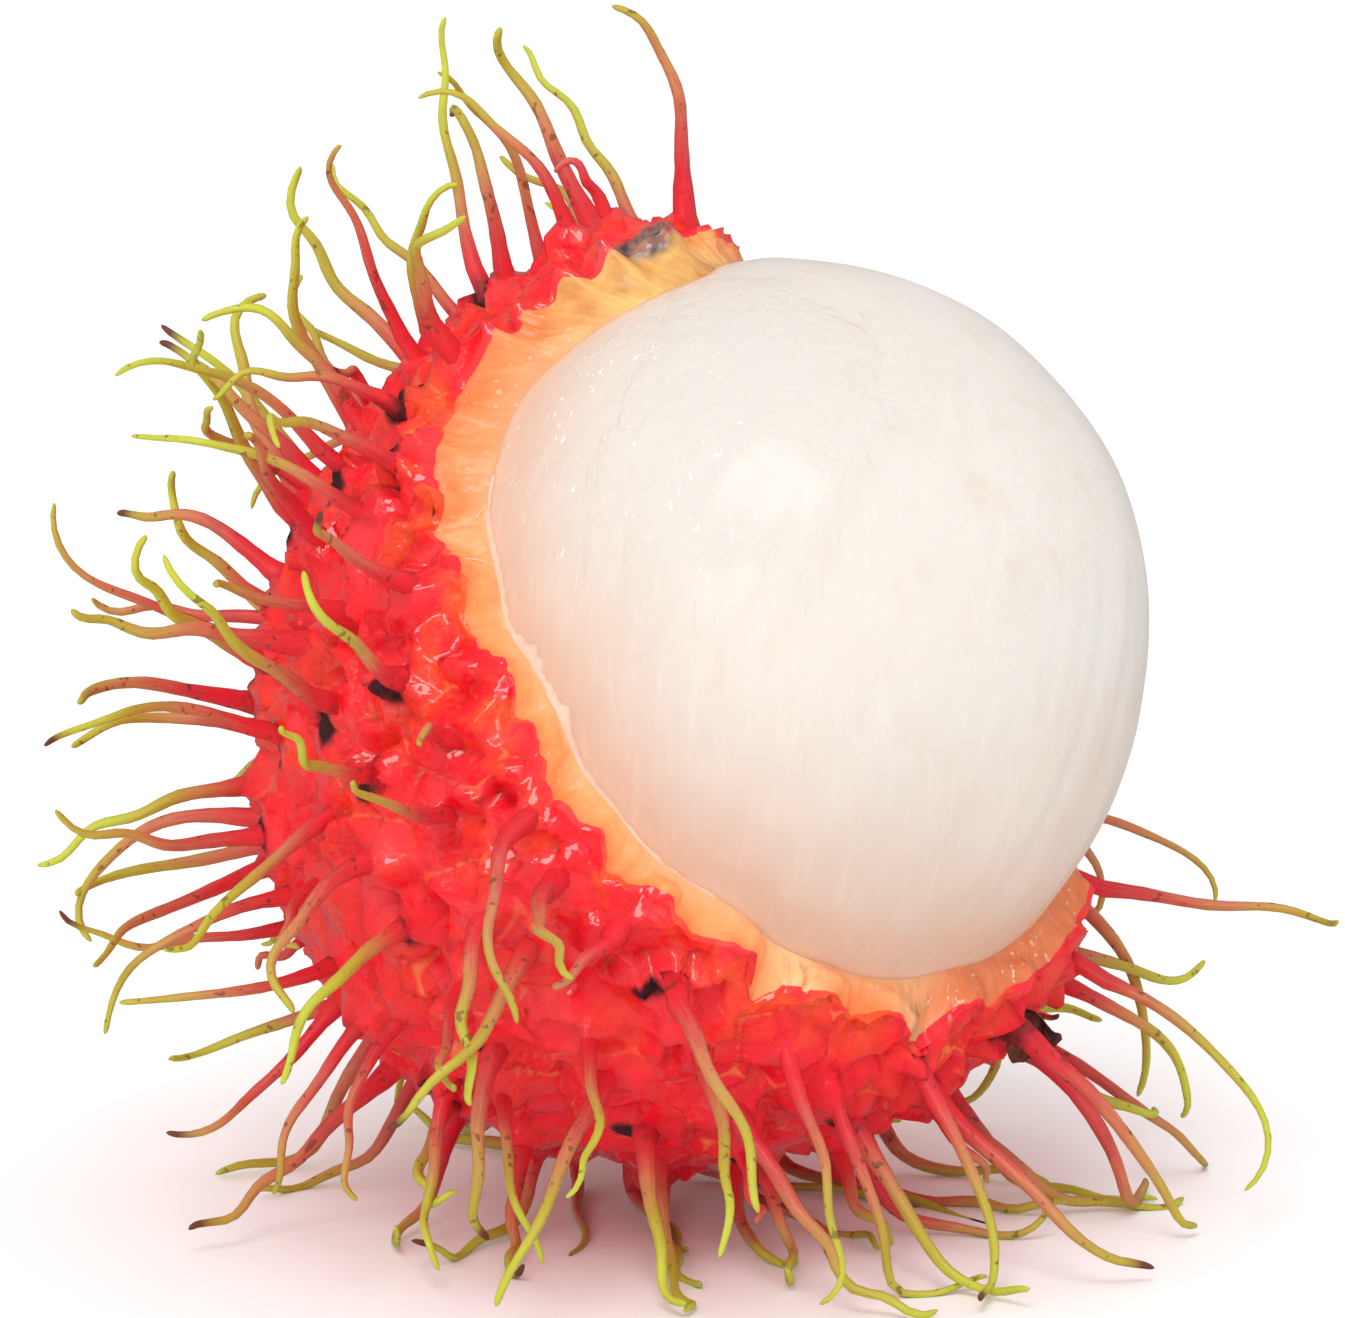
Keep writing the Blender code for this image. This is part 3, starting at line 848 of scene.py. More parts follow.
def flesh_material(settings):
    """Wet, milky flesh: cream, warmer and darker towards the rind, partly its own tint and partly painted
    shade and painted orange bounce light from the rind; painted shade that warms and darkens it towards
    the bottom and the left, and where the key light's highlight falls; painted bounce light in orange
    right along the lip; with fine streaks from pole to pole, short white dashes and a smooth greyish
    patch round the pole."""
    made, graph, shader = new_material(
        "milky_flesh",
        Subsurface_Weight=0.55,
        Subsurface_Radius=(1.0, 0.72, 0.5),
        Subsurface_Scale=2.2 * MM,
        Roughness=0.45,
        Specular_IOR_Level=0.25,
        Coat_Roughness=0.13,
    )
    where, grain, wet_at_highlight = graph.place(), graph.read("grain", "Vector"), graph.read("wet")
    streak = graph.noise(grain, 1.0, 3.0, 0.55, 0.4)
    wet = (graph.noise(grain, 0.12, 4.0, 0.65, 0.5) + wet_at_highlight * 0.55).ease(0.76, 0.86)
    # Painted shade and bounce light: the flesh is tinted warmer and darker near the lip, partly its own tint,
    # and towards the floor and the left
    warm = (graph.noise(where, 150.0) - 0.5) * 0.35 + graph.read("warm")
    tint = warm.mix(settings.pale_colour, settings.warm_and_shaded_colour)
    tint = streak.fade(0.5, 0.75, 0.0, 0.12).mix(tint, FLESH_STREAK)
    tint = graph.noise(grain, 0.3).fade(0.55, 0.75, 0.0, 0.25).mix(tint, settings.warm_and_shaded_colour)
    tint = (graph.read("patch") * 0.5).mix(tint, FLESH_PATCH)
    # Painted shade where the key light's highlight falls: the flesh is painted darker there
    tint = (wet_at_highlight * 0.8).mix(tint, FLESH_DARKENED_AT_HIGHLIGHT)
    # Painted bounce light: an orange glow from the pith painted on the flesh right along the lip
    tint = (graph.read("blush") * 0.8).mix(tint, FLESH_PAINTED_BOUNCE)
    dashes = graph.group("Scattered specks", Place=graph.read("dashes", "Vector"), Scale=1.0, Cut=0.87)
    dash = dashes["Mask"] * graph.read("dashed")
    crinkle = graph.noise(where, 1500.0, 2.0, 0.5, 0.9) * (wet * 0.5 + 0.13)
    inputs = {
        "Base Color": dash.mix(tint, FLESH_DASH),
        "Coat Weight": wet.fade(0.0, 1.0, 0.05, 0.26),
        "Normal": graph.bump(dash * 0.2 + (streak * 0.1 + crinkle), 0.14 * MM),
    }
    graph.give(shader, inputs)
    return made


def shred_material():
    """Pale torn fibres and the thin clinging membrane."""
    made, graph, shader = new_material("pale_fibres", Roughness=0.3)
    where = graph.place()
    cloud = graph.noise(where, 700.0)
    inputs = {
        "Base Color": (graph.read("warm") + (cloud - 0.5) * 0.8).mix(*SHRED_COLOURS),
        "Alpha": graph.read("cover") * cloud.fade(0.3, 0.7, 0.7, 1.0),
        "Normal": graph.bump(graph.noise(where, 2500.0), 0.04 * MM),
    }
    graph.give(shader, inputs)
    return made


def scrap_material():
    """Dried brown scraps: nearly black in the folds, amber where thin."""
    made, graph, shader = new_material("dried_scraps", Specular_IOR_Level=0.3)
    cloud = graph.noise(graph.place(), 1300.0, 3.0, 0.6)
    inputs = {
        "Base Color": cloud.fade(0.35, 0.7).mix(*SCRAP_COLOURS),
        "Roughness": cloud.fade(0.3, 0.7, 0.35, 0.65),
        "Normal": graph.bump(cloud, 0.12 * MM),
    }
    graph.give(shader, inputs)
    return made


# ---------------------------------------------------------------- the rind


def edge_shift(turn):
    """How far the skin's torn edge stands before or behind its smooth line: teeth and finer rags."""
    rags = 0.5 * ripple(turn, 0.0, (30, 70), 11) + 0.3 * ripple(turn, 0.0, (80, 150), 12)
    finer = RAG_DEPTH * rags - SPIKE_REACH * spikes(turn) + TONGUE_REACH * marks(turn, "tongues")
    return teeth(turn) + finer


def spikes(turn):
    """Pointed peaks of the torn skin: a triangle wave with a wandering pace, to a power, tallest on
    the upper left, from 0 to about 1."""
    phase = turn * SPIKES / TAU + 0.3 * ripple(turn, 0.0, (3, 9), 13)
    peak = (1.0 - 2.0 * np.abs(phase % 1.0 - 0.5)) ** 1.7
    size = 0.75 + 0.3 * ripple(turn, 0.0, (5, 17), 14)
    return peak * size * (0.12 + marks(turn, "spikes"))


def face_profile(turn, across):
    """The torn face as lean and height over the flesh: across runs from 0 at the skin's edge, first
    down and then inwards, to 1 at the lip."""
    edge = smooth_edge(turn) + edge_shift(turn)
    height = skin_height(edge, turn)
    lean = edge + (lip_lean(turn) - edge) * across**1.3
    return lean, height + (LIP_HEIGHT - height) * across**0.85


def tufts(turn):
    """Where the torn face is frayed, from 0 to 1."""
    return np.minimum(marks(turn, "tufts"), 1.0)


def rows(count, spare=0):
    """A column of even shares, from the first row on up to 1, or to that many rows short of it."""
    return ((np.arange(count) + 1.0) / (count + spare))[:, None]


def rind_rows():
    """The wall's base surface: the lean and height of every row and turn, with each row's stretch
    (0 outside, 1 torn face, 2 inside) and its share of that stretch."""
    turn = round_turns(RIND_TURNS)[None]
    share, across, inward = rows(OUTER_ROWS), rows(FACE_ROWS), rows(INNER_ROWS, 1) ** 1.8
    shift = edge_shift(turn) * np.exp(-(1.0 - share) / SHIFT_FADE)
    outer = math.pi - (math.pi - smooth_edge(turn)) * share + shift
    face, face_height = face_profile(turn, across)
    inner = lip_lean(turn) + (math.pi - lip_lean(turn)) * inward
    inner_height = HOLLOW + (LIP_CONTACT - HOLLOW) * np.exp(-inward / LIP_FADE) + 0.0 * turn
    lean = np.concatenate([outer, face, inner])
    height = np.concatenate([skin_height(outer, turn), face_height, inner_height])
    stretch = np.repeat([0, 1, 2], [OUTER_ROWS, FACE_ROWS, INNER_ROWS])
    return lean, np.broadcast_to(turn, lean.shape), height, stretch, np.concatenate([share, across, inward])


def grid_normals(points):
    """Unit normals of a grid that closes round its columns: the cross product of the steps along
    the rows and the columns, turned to point outwards at the first rows."""
    down = np.gradient(points, axis=0)
    round_ = np.roll(points, -1, axis=1) - np.roll(points, 1, axis=1)
    normal = unit_of(np.cross(down, round_))
    return normal * np.sign((normal[0] * points[0]).sum())


def spine_roots():
    """The spines' knobs, the unit headings of their first steps, and how strongly each is stained."""
    paths, _, length = spine_paths()
    knobs = spine_knobs()
    heading = unit_of(paths[:, 2] - paths[:, 0])
    draw = np.random.default_rng(LOOKS_SEED)
    stained = (draw.uniform(0.0, 1.0, len(knobs)) < STAIN_SHARE) * draw.uniform(0.7, 1.3, len(knobs))
    return knobs, heading, stained * (length > SPINE_LENGTH[0])


def rind_mesh():
    """The closed wall of the rind. The outside carries facets, seams between the knobs, and a cone
    that leans with each spine; the torn face carries lumps and fibres."""
    lean, turn, height, stretch, share = rind_rows()
    base = on_egg(lean, turn, height)
    outside, face = stretch == 0, stretch == 1
    unit = direction(lean[outside], turn[outside]).reshape(-1, 3)

    draw = np.random.default_rng(LOOKS_SEED + 1)
    coarse, crease, tone = facet_relief(unit, FACETS, FACET_TILT, FACET_SHARPNESS, 31)
    swelling = draw.normal(0.0, 1.0, (KNOBS, 1))
    rise, seam = cell_blend(unit, knob_directions(), swelling, KNOB_SHARPNESS)
    knobs, heading, stained = spine_roots()
    stem = heading / (heading * (egg_normal(knobs, SKIN_TOP) @ AXES.T)).sum(axis=1, keepdims=True)
    tall = draw.uniform(*CONE_HEIGHT, (len(knobs), 1))
    cones = bumps_at(unit, knobs, CONE_WIDTH / SKIN_RADIUS, 1.25, stem * tall)
    root = bumps_at(unit, knobs, ROOT_WIDTH / SKIN_RADIUS, 2.0, np.ones((len(knobs), 1)))
    heel = unit_of(knobs - (heading @ AXES) * STAIN_SHIFT + draw.normal(0.0, STAIN_SCATTER, knobs.shape))
    stain = bumps_at(unit, heel, STAIN_WIDTH / SKIN_RADIUS, 2.6, stained[:, None])
    grids = (coarse, crease, tone, rise, seam, root, stain)
    coarse, crease, tone, rise, seam, root, stain = (grid.reshape(-1, RIND_TURNS) for grid in grids)

    relief = np.zeros(lean.shape)
    from_edge = 1.0 - share[outside]
    calm = 1.0 - 0.35 * np.exp(-from_edge / CALM_FADE)
    relief[outside] = (coarse + KNOB_SWELL * rise - SEAM_DEPTH * seam) * calm
    across = share[face]
    frayed = tufts(turn[face])
    fibres = ripple(turn[face], across, (90, 240), 21, slope=3.0)
    lumps = ripple(turn[face], across, (12, 45), 22, slope=5.0)
    swell = np.sin(math.pi * np.minimum(across + 0.1, 1.0)) ** 0.7
    relief[face] = swell * MM * (0.08 * lumps + (0.012 + 0.13 * frayed) * fibres + 0.08 + 0.12 * frayed)
    points = base + grid_normals(base) * relief[..., None]
    points[outside] += cones.reshape(-1, RIND_TURNS, 3)
    peel = SPIKE_HEIGHT * spikes(turn[0]) * np.exp(-from_edge / PEEL_FADE)
    raised = np.concatenate([peel, peel[-1:] * (1.0 - across) ** 1.6])
    points[: len(raised)] += raised[..., None] * unit_of(base[: len(raised)])
    points = points[None]
    mesh = rings_mesh("rind_wall", points, middles(points))
    pairs = np.empty(2 * len(mesh.edges), dtype=np.int32)
    mesh.edges.foreach_get("vertices", pairs)
    fold = (pairs.reshape(-1, 2) // RIND_TURNS == OUTER_ROWS - 1).all(axis=1)
    mesh.attributes.new("sharp_edge", "BOOLEAN", "EDGE").data.foreach_set("value", fold)

    def whole(*values):
        """One grid from the values of the outside, the torn face and the inside."""
        filled = np.zeros(lean.shape)
        for number, part in enumerate(values):
            filled[stretch == number] = part
        return filled

    edge_away = (lean[outside] - lean[outside][-1:]) * SKIN_RADIUS
    dried = whole(np.exp(-edge_away / SCAR_REACH), 0.8 - 1.6 * across)
    paint(
        mesh,
        points.shape[:3],
        root=whole(np.clip(root, 0.0, 1.0)),
        seam=whole(seam),
        crease=whole(crease),
        tone=whole(tone),
        stain=whole(stain),
        edge=whole(np.exp(-edge_away / EDGE_GLOW), 1.0, 1.0),
        band=whole(0.0, np.clip((across - 0.05 - 0.16 * spikes(turn[face])) * 12.0, 0.0, 1.0), 1.0),
        across=whole(0.0, across, 1.0),
        deep=np.clip(marks(turn, "deep"), 0.0, 0.9),
        olive=np.clip(marks(turn, "olive"), 0.0, 0.85),
        scar=marks(turn, "scar") * np.clip(dried, 0.0, 1.0),
        pale=tufts(turn),
        grain=stacked(np.cos(turn) * 45.0, np.sin(turn) * 45.0, share * 1.5)[None],
    )
    return mesh


# ---------------------------------------------------------------- the spines


def spines_mesh(settings):
    """Round spines on their paths, with lengthwise ridges and a rounded tip. Bends and bumps are
    sines of the share along the path, at a random pace for each spine."""
    paths, radii, length = spine_paths()
    count = len(paths)
    tip_shares, tip_girths = zip(*TIP_RINGS)
    shares = np.append(np.linspace(0.0, 1.0, SPINE_STEPS + 1)[:-1], tip_shares)
    kept = np.ones((count, 1))
    kept[list(TRIMMED), 0] = list(TRIMMED.values())
    spot = np.minimum(shares * kept * SPINE_STEPS, SPINE_STEPS - 1e-6)
    row, low = np.arange(count)[:, None], spot.astype(int)
    part = spot - low
    radii = radii[row, low] * (1.0 - part) + radii[row, low + 1] * part
    part = part[..., None]
    paths = paths[row, low] * (1.0 - part) + paths[row, low + 1] * part
    draw = np.random.default_rng(LOOKS_SEED + 2)
    pull = draw.normal(0.0, 1.0, (4, count, 1, 1))
    for k, frame_axis in enumerate(cross_frames(paths)):
        bend = np.sin((3.5 + pull[k]) * math.pi * shares[:, None] ** 1.3 + 3.0 * pull[k + 2])
        paths = paths + SWAY * frame_axis * bend * shares[:, None] ** 1.5
    waver = draw.normal(0.0, 1.0, (3, count, 1))
    bumps = np.cos(shares * 26.0 + 3.0 * waver[0]) * 0.04 + np.cos(shares * 61.0 + 5.0 * waver[1]) * 0.03
    radii = radii * (1.0 + bumps) * settings.thickness * (ROOT_SHARE + (TIP_SHARE - ROOT_SHARE) * shares)
    radii[:, -len(TIP_RINGS) :] *= tip_girths
    rings = tube_rings(paths, radii, SPINE_SIDES, 0.07)
    ends = np.stack([paths[:, 0], paths[:, -1] + (paths[:, -1] - paths[:, -2]) * 0.5], axis=1)
    for k, rise in enumerate(SUNK_RINGS):
        local = rings[:, k] @ AXES
        away = np.linalg.norm(local, axis=-1)
        most = egg_radius(local / away[..., None], skin_height(*lean_and_turn(local)) + rise)
        rings[:, k] *= (np.minimum(away, most) / away)[..., None]
    rings[..., 2] = np.maximum(rings[..., 2], -CENTRE_HEIGHT)
    ends[..., 2] = np.maximum(ends[..., 2], -CENTRE_HEIGHT + 0.02 * MM)
    mesh = rings_mesh("spines", rings, ends)

    _, heading, stained = spine_roots()
    along = ((shares * length[:, None] - ROOT_DEPTH) / MM)[..., None]
    above = np.maximum(along, 0.0)
    outward = unit_of(rings - paths[:, :, None])
    facing = (outward * unit_of(paths)[:, :, None]).sum(axis=-1)
    ahead = (outward * heading[:, None, None]).sum(axis=-1)
    stain = 0.8 * stained[:, None, None] * np.exp(-((above / 1.5) ** 2))
    pace = draw.uniform(0.62, 1.38, (count, 1, 1))
    start = draw.normal(0.0, 0.07, (count, 1, 1))
    full = np.maximum(length, SPINE_LENGTH[0])[:, None, None] / MM
    dried = draw.uniform(0.0, 1.0, (count, 1, 1)) < DRIED_SHARE
    angle = round_turns(SPINE_SIDES)
    beside = np.cos(angle) * 2.2 + draw.uniform(0.0, 99.0, (count, 1, 1))
    paint(
        mesh,
        rings.shape[:3],
        ripeness=start + pace * 0.94 * along / full + 0.09 * facing,
        root=np.exp(-((above / 1.6) ** 2)),
        stain=stain * np.clip(0.55 - 0.5 * ahead, 0.0, 1.0),
        dry=dried * np.clip((shares[:, None] - 0.9) / 0.05, 0.0, 1.0),
        grain=stacked(beside, np.sin(angle) * 2.2, along * 0.8),
    )
    return mesh


# ---------------------------------------------------------------- the flesh


def streak_frame():
    """Columns: two directions across and one along the pole that the flesh's streaks run to, in the
    fruit's own axes."""
    pole = direction(*STREAK_POLE)
    across = unit_of(np.cross(pole, [0.0, 0.0, 1.0]))
    return np.stack([across, np.cross(pole, across), pole], axis=1)


def flesh_mesh(settings):
    """The egg with soft undulations and shallow furrows that run to the streak pole. The furrows are
    a sum of cosines round that pole, with random whole counts."""
    turn = round_turns(FLESH_TURNS)[None]
    lean = ((np.arange(FLESH_ROWS) + 0.7) * math.pi / (FLESH_ROWS + 0.4))[:, None]
    unit = direction(lean, turn)
    away, round_ = lean_and_turn(unit @ streak_frame())
    soft = clouds(unit, 0.55, 41) * 0.05 + clouds(unit, 0.22, 42) * 0.014
    furrow = 0.0
    draw = np.random.default_rng(43)
    for _ in range(FURROWS):
        count = draw.integers(24, 74)
        furrow += np.cos(count * round_ + draw.normal(0.0, 5.0) * away + draw.uniform(0.0, 6.3))
    furrow *= settings.streak_depth / MM * np.sin(away) ** 1.2 / math.sqrt(FURROWS / 2.0)
    normal = egg_normal(unit, 0.0) @ AXES.T
    shown = np.clip((lip_lean(turn) - lean) / 0.14, 0.0, 1.0) ** 0.8
    points = (on_egg(lean, turn, 0.0) + normal * (MM * (soft + furrow) * shown)[..., None])[None]
    ends = on_egg(np.array([0.0, math.pi]), np.zeros(2), 0.0)[None]
    mesh = rings_mesh("milky_flesh", points, ends)

    from_lip = (lip_lean(turn) - lean) * LIP_RADIUS / MM
    world = unit @ AXES.T
    # Painted shade and bounce light: warmer and darker near the lip (partly the flesh's own tint, partly
    # painted shade and orange bounce light from the rind), less so round the top; painted shade towards the
    # floor and towards the left
    warm = (1.05 - marks(turn, "cool")) * np.exp(-np.maximum(from_lip, 0.0) / 3.2)
    warm = warm + 0.5 * np.clip(0.15 - world[..., 2], 0.0, 1.0) + 0.5 * np.clip(-world[..., 0] - 0.1, 0.0, 1.0)
    spots, sizes = unit_of(np.array(WET_SPOTS)), np.array(WET_SIZES)[:, None]
    wet = bumps_at(world.reshape(-1, 3), spots, WET_WIDTH, 2.0, sizes)
    swirl = round_ - 0.4 * away
    ring_size = np.sin(away) * 42.0
    grain = stacked(np.cos(swirl) * ring_size, np.sin(swirl) * ring_size, away * 6.0)[None]
    paint(
        mesh,
        points.shape[:3],
        warm=np.clip(warm + 0.08, 0.0, 1.0),
        # painted bounce light from the pith, right along the lip
        blush=np.exp(-(((np.maximum(from_lip, -0.3) + 0.3) / 0.6) ** 2)),
        patch=np.exp(-((away / 0.2) ** 2.5)),
        wet=np.clip(wet, 0.0, 1.2).reshape(away.shape),
        grain=grain,
        dashes=grain * [1.8, 1.8, 0.7],
        dashed=marks(turn, "dashes") * np.exp(-(((lean - DASH_LEAN) / DASH_SPREAD) ** 2)),
    )
    return mesh


# ---------------------------------------------------------------- the torn edge's small things


def fibres_mesh():
    """Loose fibres across the torn face: short tapered threads whose ends stand off, thickest where
    the face is frayed."""
    draw = np.random.default_rng(LOOKS_SEED + 3)
    tries = draw.uniform(0.0, TAU, FIBRE_TRIES)
    kept = draw.uniform(0.0, 1.0, FIBRE_TRIES) < FIBRE_SHARE * tufts(tries) ** 2.5
    turn = tries[kept][:, None]
    count = len(turn)
    share = np.linspace(0.0, 1.0, 7)[None, :]
    begin = draw.uniform(0.05, 0.65, (count, 1))
    reach = draw.uniform(0.15, 0.5, (count, 1))
    across = np.clip(begin + reach * share, 0.0, 1.0)
    drift = draw.normal(0.0, 0.035, (count, 1)) * share + draw.normal(0.0, 0.02, (count, 1)) * share**2
    lean, height = face_profile(turn + drift, across)
    loose = draw.exponential(0.16, (count, 1)) * tufts(turn)
    lift = 0.05 + loose * np.abs(share - draw.uniform(0.0, 1.0, (count, 1))) ** 1.5
    lift = (lift + 0.1 * np.sin(math.pi * across)) * MM
    paths = on_egg(lean - 0.4 * lift / SKIN_RADIUS, turn + drift, height + 0.8 * lift)
    radii = draw.uniform(0.015, 0.04, (count, 1)) * MM * np.sin(math.pi * (0.12 + 0.8 * share)) ** 0.6
    rings = tube_rings(paths, radii, 4)
    mesh = rings_mesh("torn_fibres", rings, paths[:, [0, -1]])
    paint(mesh, rings.shape[:3], warm=draw.uniform(0.25, 1.0, (count, 1, 1)), cover=1.0)
    return mesh


def membrane_mesh():
    """A thin clinging film along the lip: a flattened tube that lies on the flesh, its width a
    ragged wave with one wider flap."""
    share = np.linspace(0.0, 1.0, FILM_STEPS)[:, None]
    turn = np.radians(FILM_START + FILM_SPAN * share)
    ragged = 0.5 + 0.22 * ripple(turn, 0.0, (60, 140), 51) + 0.2 * ripple(turn, 0.0, (18, 40), 52)
    width = 0.08 + 0.16 * np.abs(ragged) + marks(turn, "flaps") * (0.6 + 0.5 * np.abs(ragged))
    width = np.maximum(width * np.sin(math.pi * share) ** 0.4, 0.05) * MM
    angle = round_turns(10)
    outward = (1.0 - np.cos(angle)) / 2.0
    reach = outward * (width + FILM_TUCK) - FILM_TUCK
    raised = 0.02 + 0.02 * outward**3 * (0.6 + 0.4 * ripple(turn, 0.0, (25, 60), 53))
    height = (raised + 0.008 * np.sin(angle)) * MM
    rings = on_egg(lip_lean(turn) - reach / LIP_RADIUS, turn, height)[None]
    mesh = rings_mesh("clinging_film", rings, middles(rings))
    paint(mesh, rings.shape[:3], warm=-0.3, cover=0.6 - 0.6 * outward**5)
    return mesh


def scraps_mesh():
    """Dried crumpled scraps at the skin's edge: flattened tubes bent by random waves."""
    tables = (np.radians(SCRAP_TURNS), SCRAP_FROM_EDGE, SCRAP_SIZES)
    turn, out, size = (np.array(table)[:, None] for table in tables)
    draw = np.random.default_rng(LOOKS_SEED + 4)
    share = np.linspace(0.0, 1.0, 12)[:, None]
    angle = round_turns(14)
    centre = on_egg(skin_lean(turn) + out / SKIN_RADIUS, turn, SKIN_TOP + 0.2 * MM)
    along = unit_of(draw.normal(0.0, 1.0, centre.shape) + 1.5 * unit_of(centre))
    wide = unit_of(np.cross(along, draw.normal(0.0, 1.0, centre.shape)))
    thick = np.cross(along, wide)
    swell = np.sin(math.pi * (0.06 + 0.88 * share)) ** 0.6
    flat = stacked((share - 0.3) * 2.0, 0.6 * swell * np.cos(angle), 0.12 * swell * np.sin(angle))
    flat = (flat * size[..., None, None]) @ np.stack([along, wide, thick], axis=2)
    centre, thick = centre[:, :, None], thick[:, :, None]
    bend = clouds(flat + centre * 3.0, 1.1 * MM, 61)[..., None] * 0.24 * MM
    rings = centre + flat + bend * thick
    return rings_mesh("dried_scraps", rings, middles(rings))


# ---------------------------------------------------------------- settings


def colour_property(name, description, default):
    return FloatVectorProperty(
        name=name, description=description, default=default, subtype="COLOR", size=3, min=0.0, max=1.0
    )


class RindSettings(PropertyGroup):
    skin_colour: colour_property("Skin", "Bright red of the skin", (0.95, 0.012, 0.018))
    # Deep red: random clouds, and painted shade in the sunk pits
    deep_colour: colour_property("Deep red", "Darker red clouds in the skin", (0.84, 0.003, 0.014))
    pink_colour: colour_property("Pink", "Pinkish bloom on the skin's facets", (0.97, 0.04, 0.055))
    orange_colour: colour_property("Orange", "Orange mottling near the torn edge", (0.98, 0.11, 0.015))
    seam_colour: colour_property("Seams", "Thin cracks between the facets", (0.98, 0.24, 0.07))
    root_colour: colour_property("Roots", "Mauve red at the roots of the spines", (0.68, 0.024, 0.04))
    pith_outer: colour_property("Pith outside", "Torn pith beside the skin", (0.96, 0.205, 0.055))
    pith_middle: colour_property("Pith middle", "Torn pith halfway across", (0.95, 0.33, 0.11))
    pith_inner: colour_property("Pith inside", "Torn pith at the lip", (0.93, 0.42, 0.20))


class SpineSettings(PropertyGroup):
    lower_colour: colour_property("Lower", "Spines just above the root", (0.60, 0.085, 0.07))
    middle_colour: colour_property("Middle", "Spines halfway up", (0.55, 0.215, 0.085))
    upper_colour: colour_property("Upper", "Spines above the middle", (0.46, 0.345, 0.04))
    tip_colour: colour_property("Tip", "Tips of the spines", (0.52, 0.55, 0.05))
    thickness: FloatProperty(
        name="Thickness",
        description="Factor on the spines' girth",
        default=0.82,
        min=0.5,
        max=1.6,
        subtype="FACTOR",
    )


class FleshSettings(PropertyGroup):
    pale_colour: colour_property("Flesh", "Milky white of the flesh", (0.70, 0.675, 0.63))
    # Warm flesh: the flesh's own warmer tint, also its painted shade and bounce light
    warm_and_shaded_colour: colour_property("Warm flesh", "Flesh towards the rind and below", (0.685, 0.455, 0.34))
    streak_depth: FloatProperty(
        name="Streak depth",
        description="Depth of the long shallow furrows",
        default=0.012 * MM,
        min=0.0,
        max=0.2 * MM,
        unit="LENGTH",
        precision=6,
    )


class StageSettings(PropertyGroup):
    floor_colour: colour_property("Floor", "Pale floor", (0.97, 0.97, 0.97))
    key_power: FloatProperty(
        name="Key light", description="Power of the large soft light", default=11.5, min=0.0, unit="POWER"
    )
    front_power: FloatProperty(
        name="Front fill", description="Power of the weak light in front", default=6.5, min=0.0, unit="POWER"
    )
    fill: FloatProperty(name="Fill", description="Brightness of the light from all round", default=1.0, min=0.0)
    distance: FloatProperty(
        name="Camera distance", description="Camera to the fruit's centre", default=0.36, min=0.1, unit="LENGTH"
    )
    lens: FloatProperty(name="Lens", description="Focal length in millimetres", default=246.0, min=20.0)


# ---------------------------------------------------------------- operators


class RAMBUTAN_OT_rind(Operator):
    """Builds the rind's wall with its skin and torn pith"""

    bl_idname = "rambutan.make_rind"
    bl_label = "Rind"

    def execute(self, context):
        settings = context.scene.rambutan_rind
        specks_group()
        facets_group()
        skin_group(settings)
        pith_group(settings)
        wall = make_piece(rind_mesh(), rind_material())
        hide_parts("rind")
        return {"FINISHED"}


class RAMBUTAN_OT_spines(Operator):
    """Builds the soft spines"""

    bl_idname = "rambutan.make_spines"
    bl_label = "Spines"

    def execute(self, context):
        scene = context.scene
        if "Rambutan skin" not in bpy.data.node_groups:
            raise RuntimeError("make the rind before the spines")
        material = spine_material(scene.rambutan_rind, scene.rambutan_spines)
        spines = make_piece(spines_mesh(scene.rambutan_spines), material)
        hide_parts("rind")
        return {"FINISHED"}


class RAMBUTAN_OT_flesh(Operator):
    """Builds the milky flesh"""

    bl_idname = "rambutan.make_flesh"
    bl_label = "Flesh"

    def execute(self, context):
        settings = context.scene.rambutan_flesh
        if "Scattered specks" not in bpy.data.node_groups:
            specks_group()
        flesh = make_piece(flesh_mesh(settings), flesh_material(settings))
        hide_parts("flesh")
        return {"FINISHED"}


class RAMBUTAN_OT_shreds(Operator):
    """Builds the loose fibres, the clinging film and the dried scraps of the torn edge"""

    bl_idname = "rambutan.make_shreds"
    bl_label = "Fibres, film and scraps"

    def execute(self, context):
        pale = shred_material()
        make_piece(fibres_mesh(), pale)
        make_piece(membrane_mesh(), pale)
        make_piece(scraps_mesh(), scrap_material())
        return {"FINISHED"}


class RAMBUTAN_OT_stage(Operator):
    """Builds the pale floor, the soft light and the camera"""

    bl_idname = "rambutan.make_stage"
    bl_label = "Stage"

    def execute(self, context):
        settings = context.scene.rambutan_stage
        make_floor(settings)
        make_lights(context.scene, settings)
        make_camera(context.scene, settings)
        return {"FINISHED"}


# ---------------------------------------------------------------- the stage


def from_centre(right, up, back):
    """The point that far right of, above and in front of the fruit's centre, as the camera sees it:
    the camera looks along +Y and down."""
    rise, flat = math.sin(CAMERA_FALL), math.cos(CAMERA_FALL)
    return Vector(CENTRE) + Vector((right, up * rise - back * flat, up * flat + back * rise))


def add_aimed(scene, data, place, target):
    """Adds a lamp or a camera at a place, its -Z turned towards the target."""
    made = bpy.data.objects.new(data.name, data)
    scene.collection.objects.link(made)
    made.location = place
    made.rotation_euler = (target - place).to_track_quat("-Z", "Y").to_euler()
    return made


def add_lamp(scene, name, size, power, place):
    lamp = bpy.data.lights.new(name, "AREA")
    lamp.shape = "DISK"
    lamp.size = size
    lamp.energy = power
    add_aimed(scene, lamp, from_centre(*(LAMP_DISTANCE * part for part in place)), Vector(CENTRE))


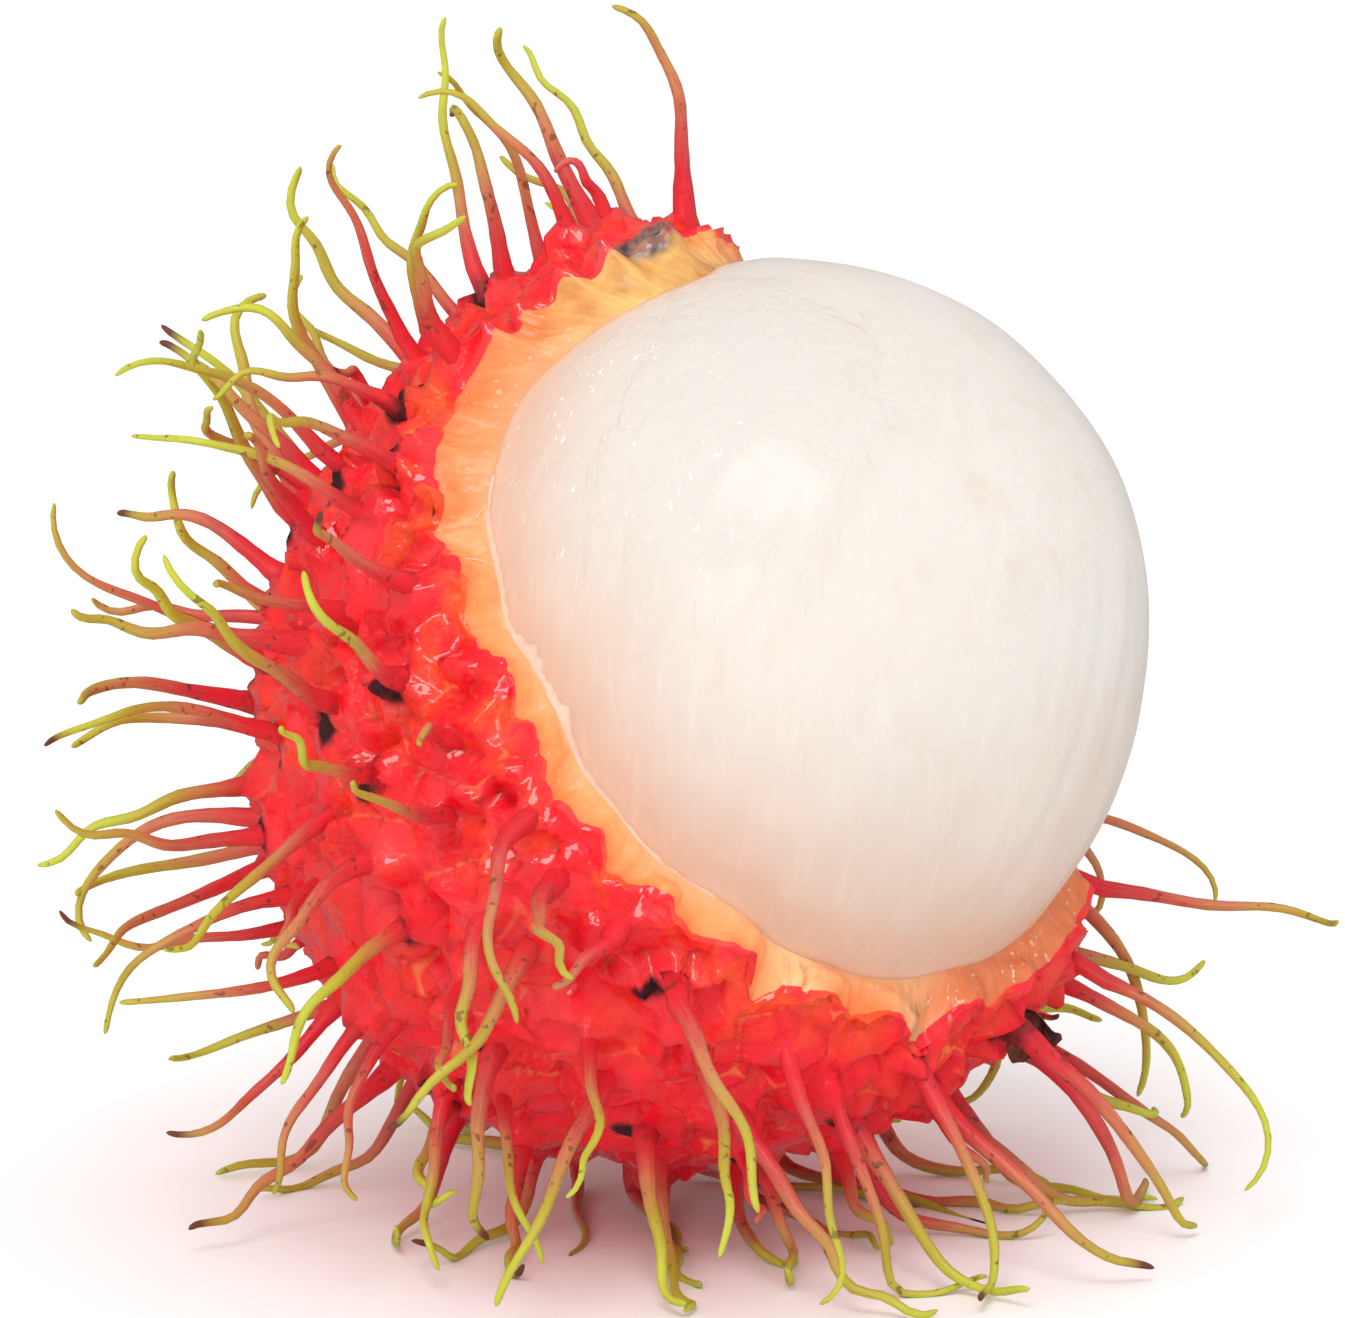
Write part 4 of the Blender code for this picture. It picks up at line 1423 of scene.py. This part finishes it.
def make_floor(settings):
    """A wide round floor, at the height where the fruit stands."""
    made, graph, shader = new_material("studio_floor", Roughness=0.6, Specular_IOR_Level=0.2)
    cloud = graph.noise(graph.place(), 3.0).fade(0.3, 0.7, 0.0, 0.2)
    graph.give(shader, {"Base Color": cloud.mix(settings.floor_colour, FLOOR_CLOUD)})
    angle = round_turns(FLOOR_TURNS)
    radius = np.array([0.05, 0.4, 1.5, 6.0])[:, None]
    points = stacked(radius * np.cos(angle), radius * np.sin(angle), 0.0)
    number = np.arange(radius.size * FLOOR_TURNS).reshape(-1, FLOOR_TURNS)
    beside = np.roll(number, -1, axis=1)
    quads = np.stack([number[:-1], number[1:], beside[1:], beside[:-1]], axis=-1).reshape(-1, 4)
    mesh = bpy.data.meshes.new("floor")
    mesh.from_pydata(points.reshape(-1, 3).tolist(), [], quads.tolist() + [number[0].tolist()])
    mesh.materials.append(made)
    floor = bpy.data.objects.new("floor", mesh)
    bpy.context.scene.collection.objects.link(floor)
    floor.visible_glossy = False


def make_lights(scene, settings):
    """A large soft light from above in front, a weak one in front, and an even fill; the backdrop
    stays white."""
    add_lamp(scene, "softbox", KEY_SIZE, settings.key_power, KEY_PLACE)
    add_lamp(scene, "front_fill", FRONT_SIZE, settings.front_power, FRONT_PLACE)
    world = bpy.data.worlds.new("studio")
    world.use_nodes = True
    graph = Graph(world.node_tree)
    graph.tree.nodes.clear()
    level = graph.wire("LightPath", {}, "Is Glossy Ray").choose(settings.fill, settings.fill * GLOSSY_FILL)
    white = (1.0, 1.0, 1.0, 1.0)
    lighting, backdrop = (graph.wire("Background", {"Color": white, "Strength": part}) for part in (level, 1.0))
    seen = graph.wire("LightPath", {}, "Is Camera Ray")
    graph.node("OutputWorld", {0: graph.wire("MixShader", {0: seen, 1: lighting, 2: backdrop})})
    scene.world = world
    scene.view_settings.view_transform = "Standard"


def make_camera(scene, settings):
    """The camera looks at a point a little left of the fruit's centre and above it."""
    data = bpy.data.cameras.new("camera")
    data.lens = settings.lens
    data.sensor_width = 36.0
    data.clip_start = 0.01
    place, target = (from_centre(-AIM_LEFT, AIM_UP, back) for back in (settings.distance, 0.0))
    scene.camera = add_aimed(scene, data, place, target)


# ---------------------------------------------------------------- panel and registration


OPERATORS = (RAMBUTAN_OT_rind, RAMBUTAN_OT_spines, RAMBUTAN_OT_flesh, RAMBUTAN_OT_shreds, RAMBUTAN_OT_stage)
SETTINGS = {
    "rambutan_rind": RindSettings,
    "rambutan_spines": SpineSettings,
    "rambutan_flesh": FleshSettings,
    "rambutan_stage": StageSettings,
}


class RAMBUTAN_PT_panel(Panel):
    """Lists the pieces and their settings"""

    bl_idname = "RAMBUTAN_PT_panel"
    bl_label = "Rambutan"
    bl_space_type = "VIEW_3D"
    bl_region_type = "UI"
    bl_category = "Rambutan"

    def draw(self, context):
        for operator in OPERATORS:
            self.layout.operator(operator.bl_idname)
        for name, kind in SETTINGS.items():
            box = self.layout.box()
            for field in kind.__annotations__:
                box.prop(getattr(context.scene, name), field)


def register():
    for kind in (*SETTINGS.values(), *OPERATORS, RAMBUTAN_PT_panel):
        bpy.utils.register_class(kind)
    for name, kind in SETTINGS.items():
        setattr(bpy.types.Scene, name, PointerProperty(type=kind))


def unregister():
    for name in SETTINGS:
        delattr(bpy.types.Scene, name)
    for kind in (RAMBUTAN_PT_panel, *reversed(OPERATORS), *reversed(SETTINGS.values())):
        bpy.utils.unregister_class(kind)


def main():
    register()
    bpy.ops.rambutan.make_rind()
    bpy.ops.rambutan.make_spines()
    bpy.ops.rambutan.make_flesh()
    bpy.ops.rambutan.make_shreds()
    bpy.ops.rambutan.make_stage()


if __name__ == "__main__":
    main()
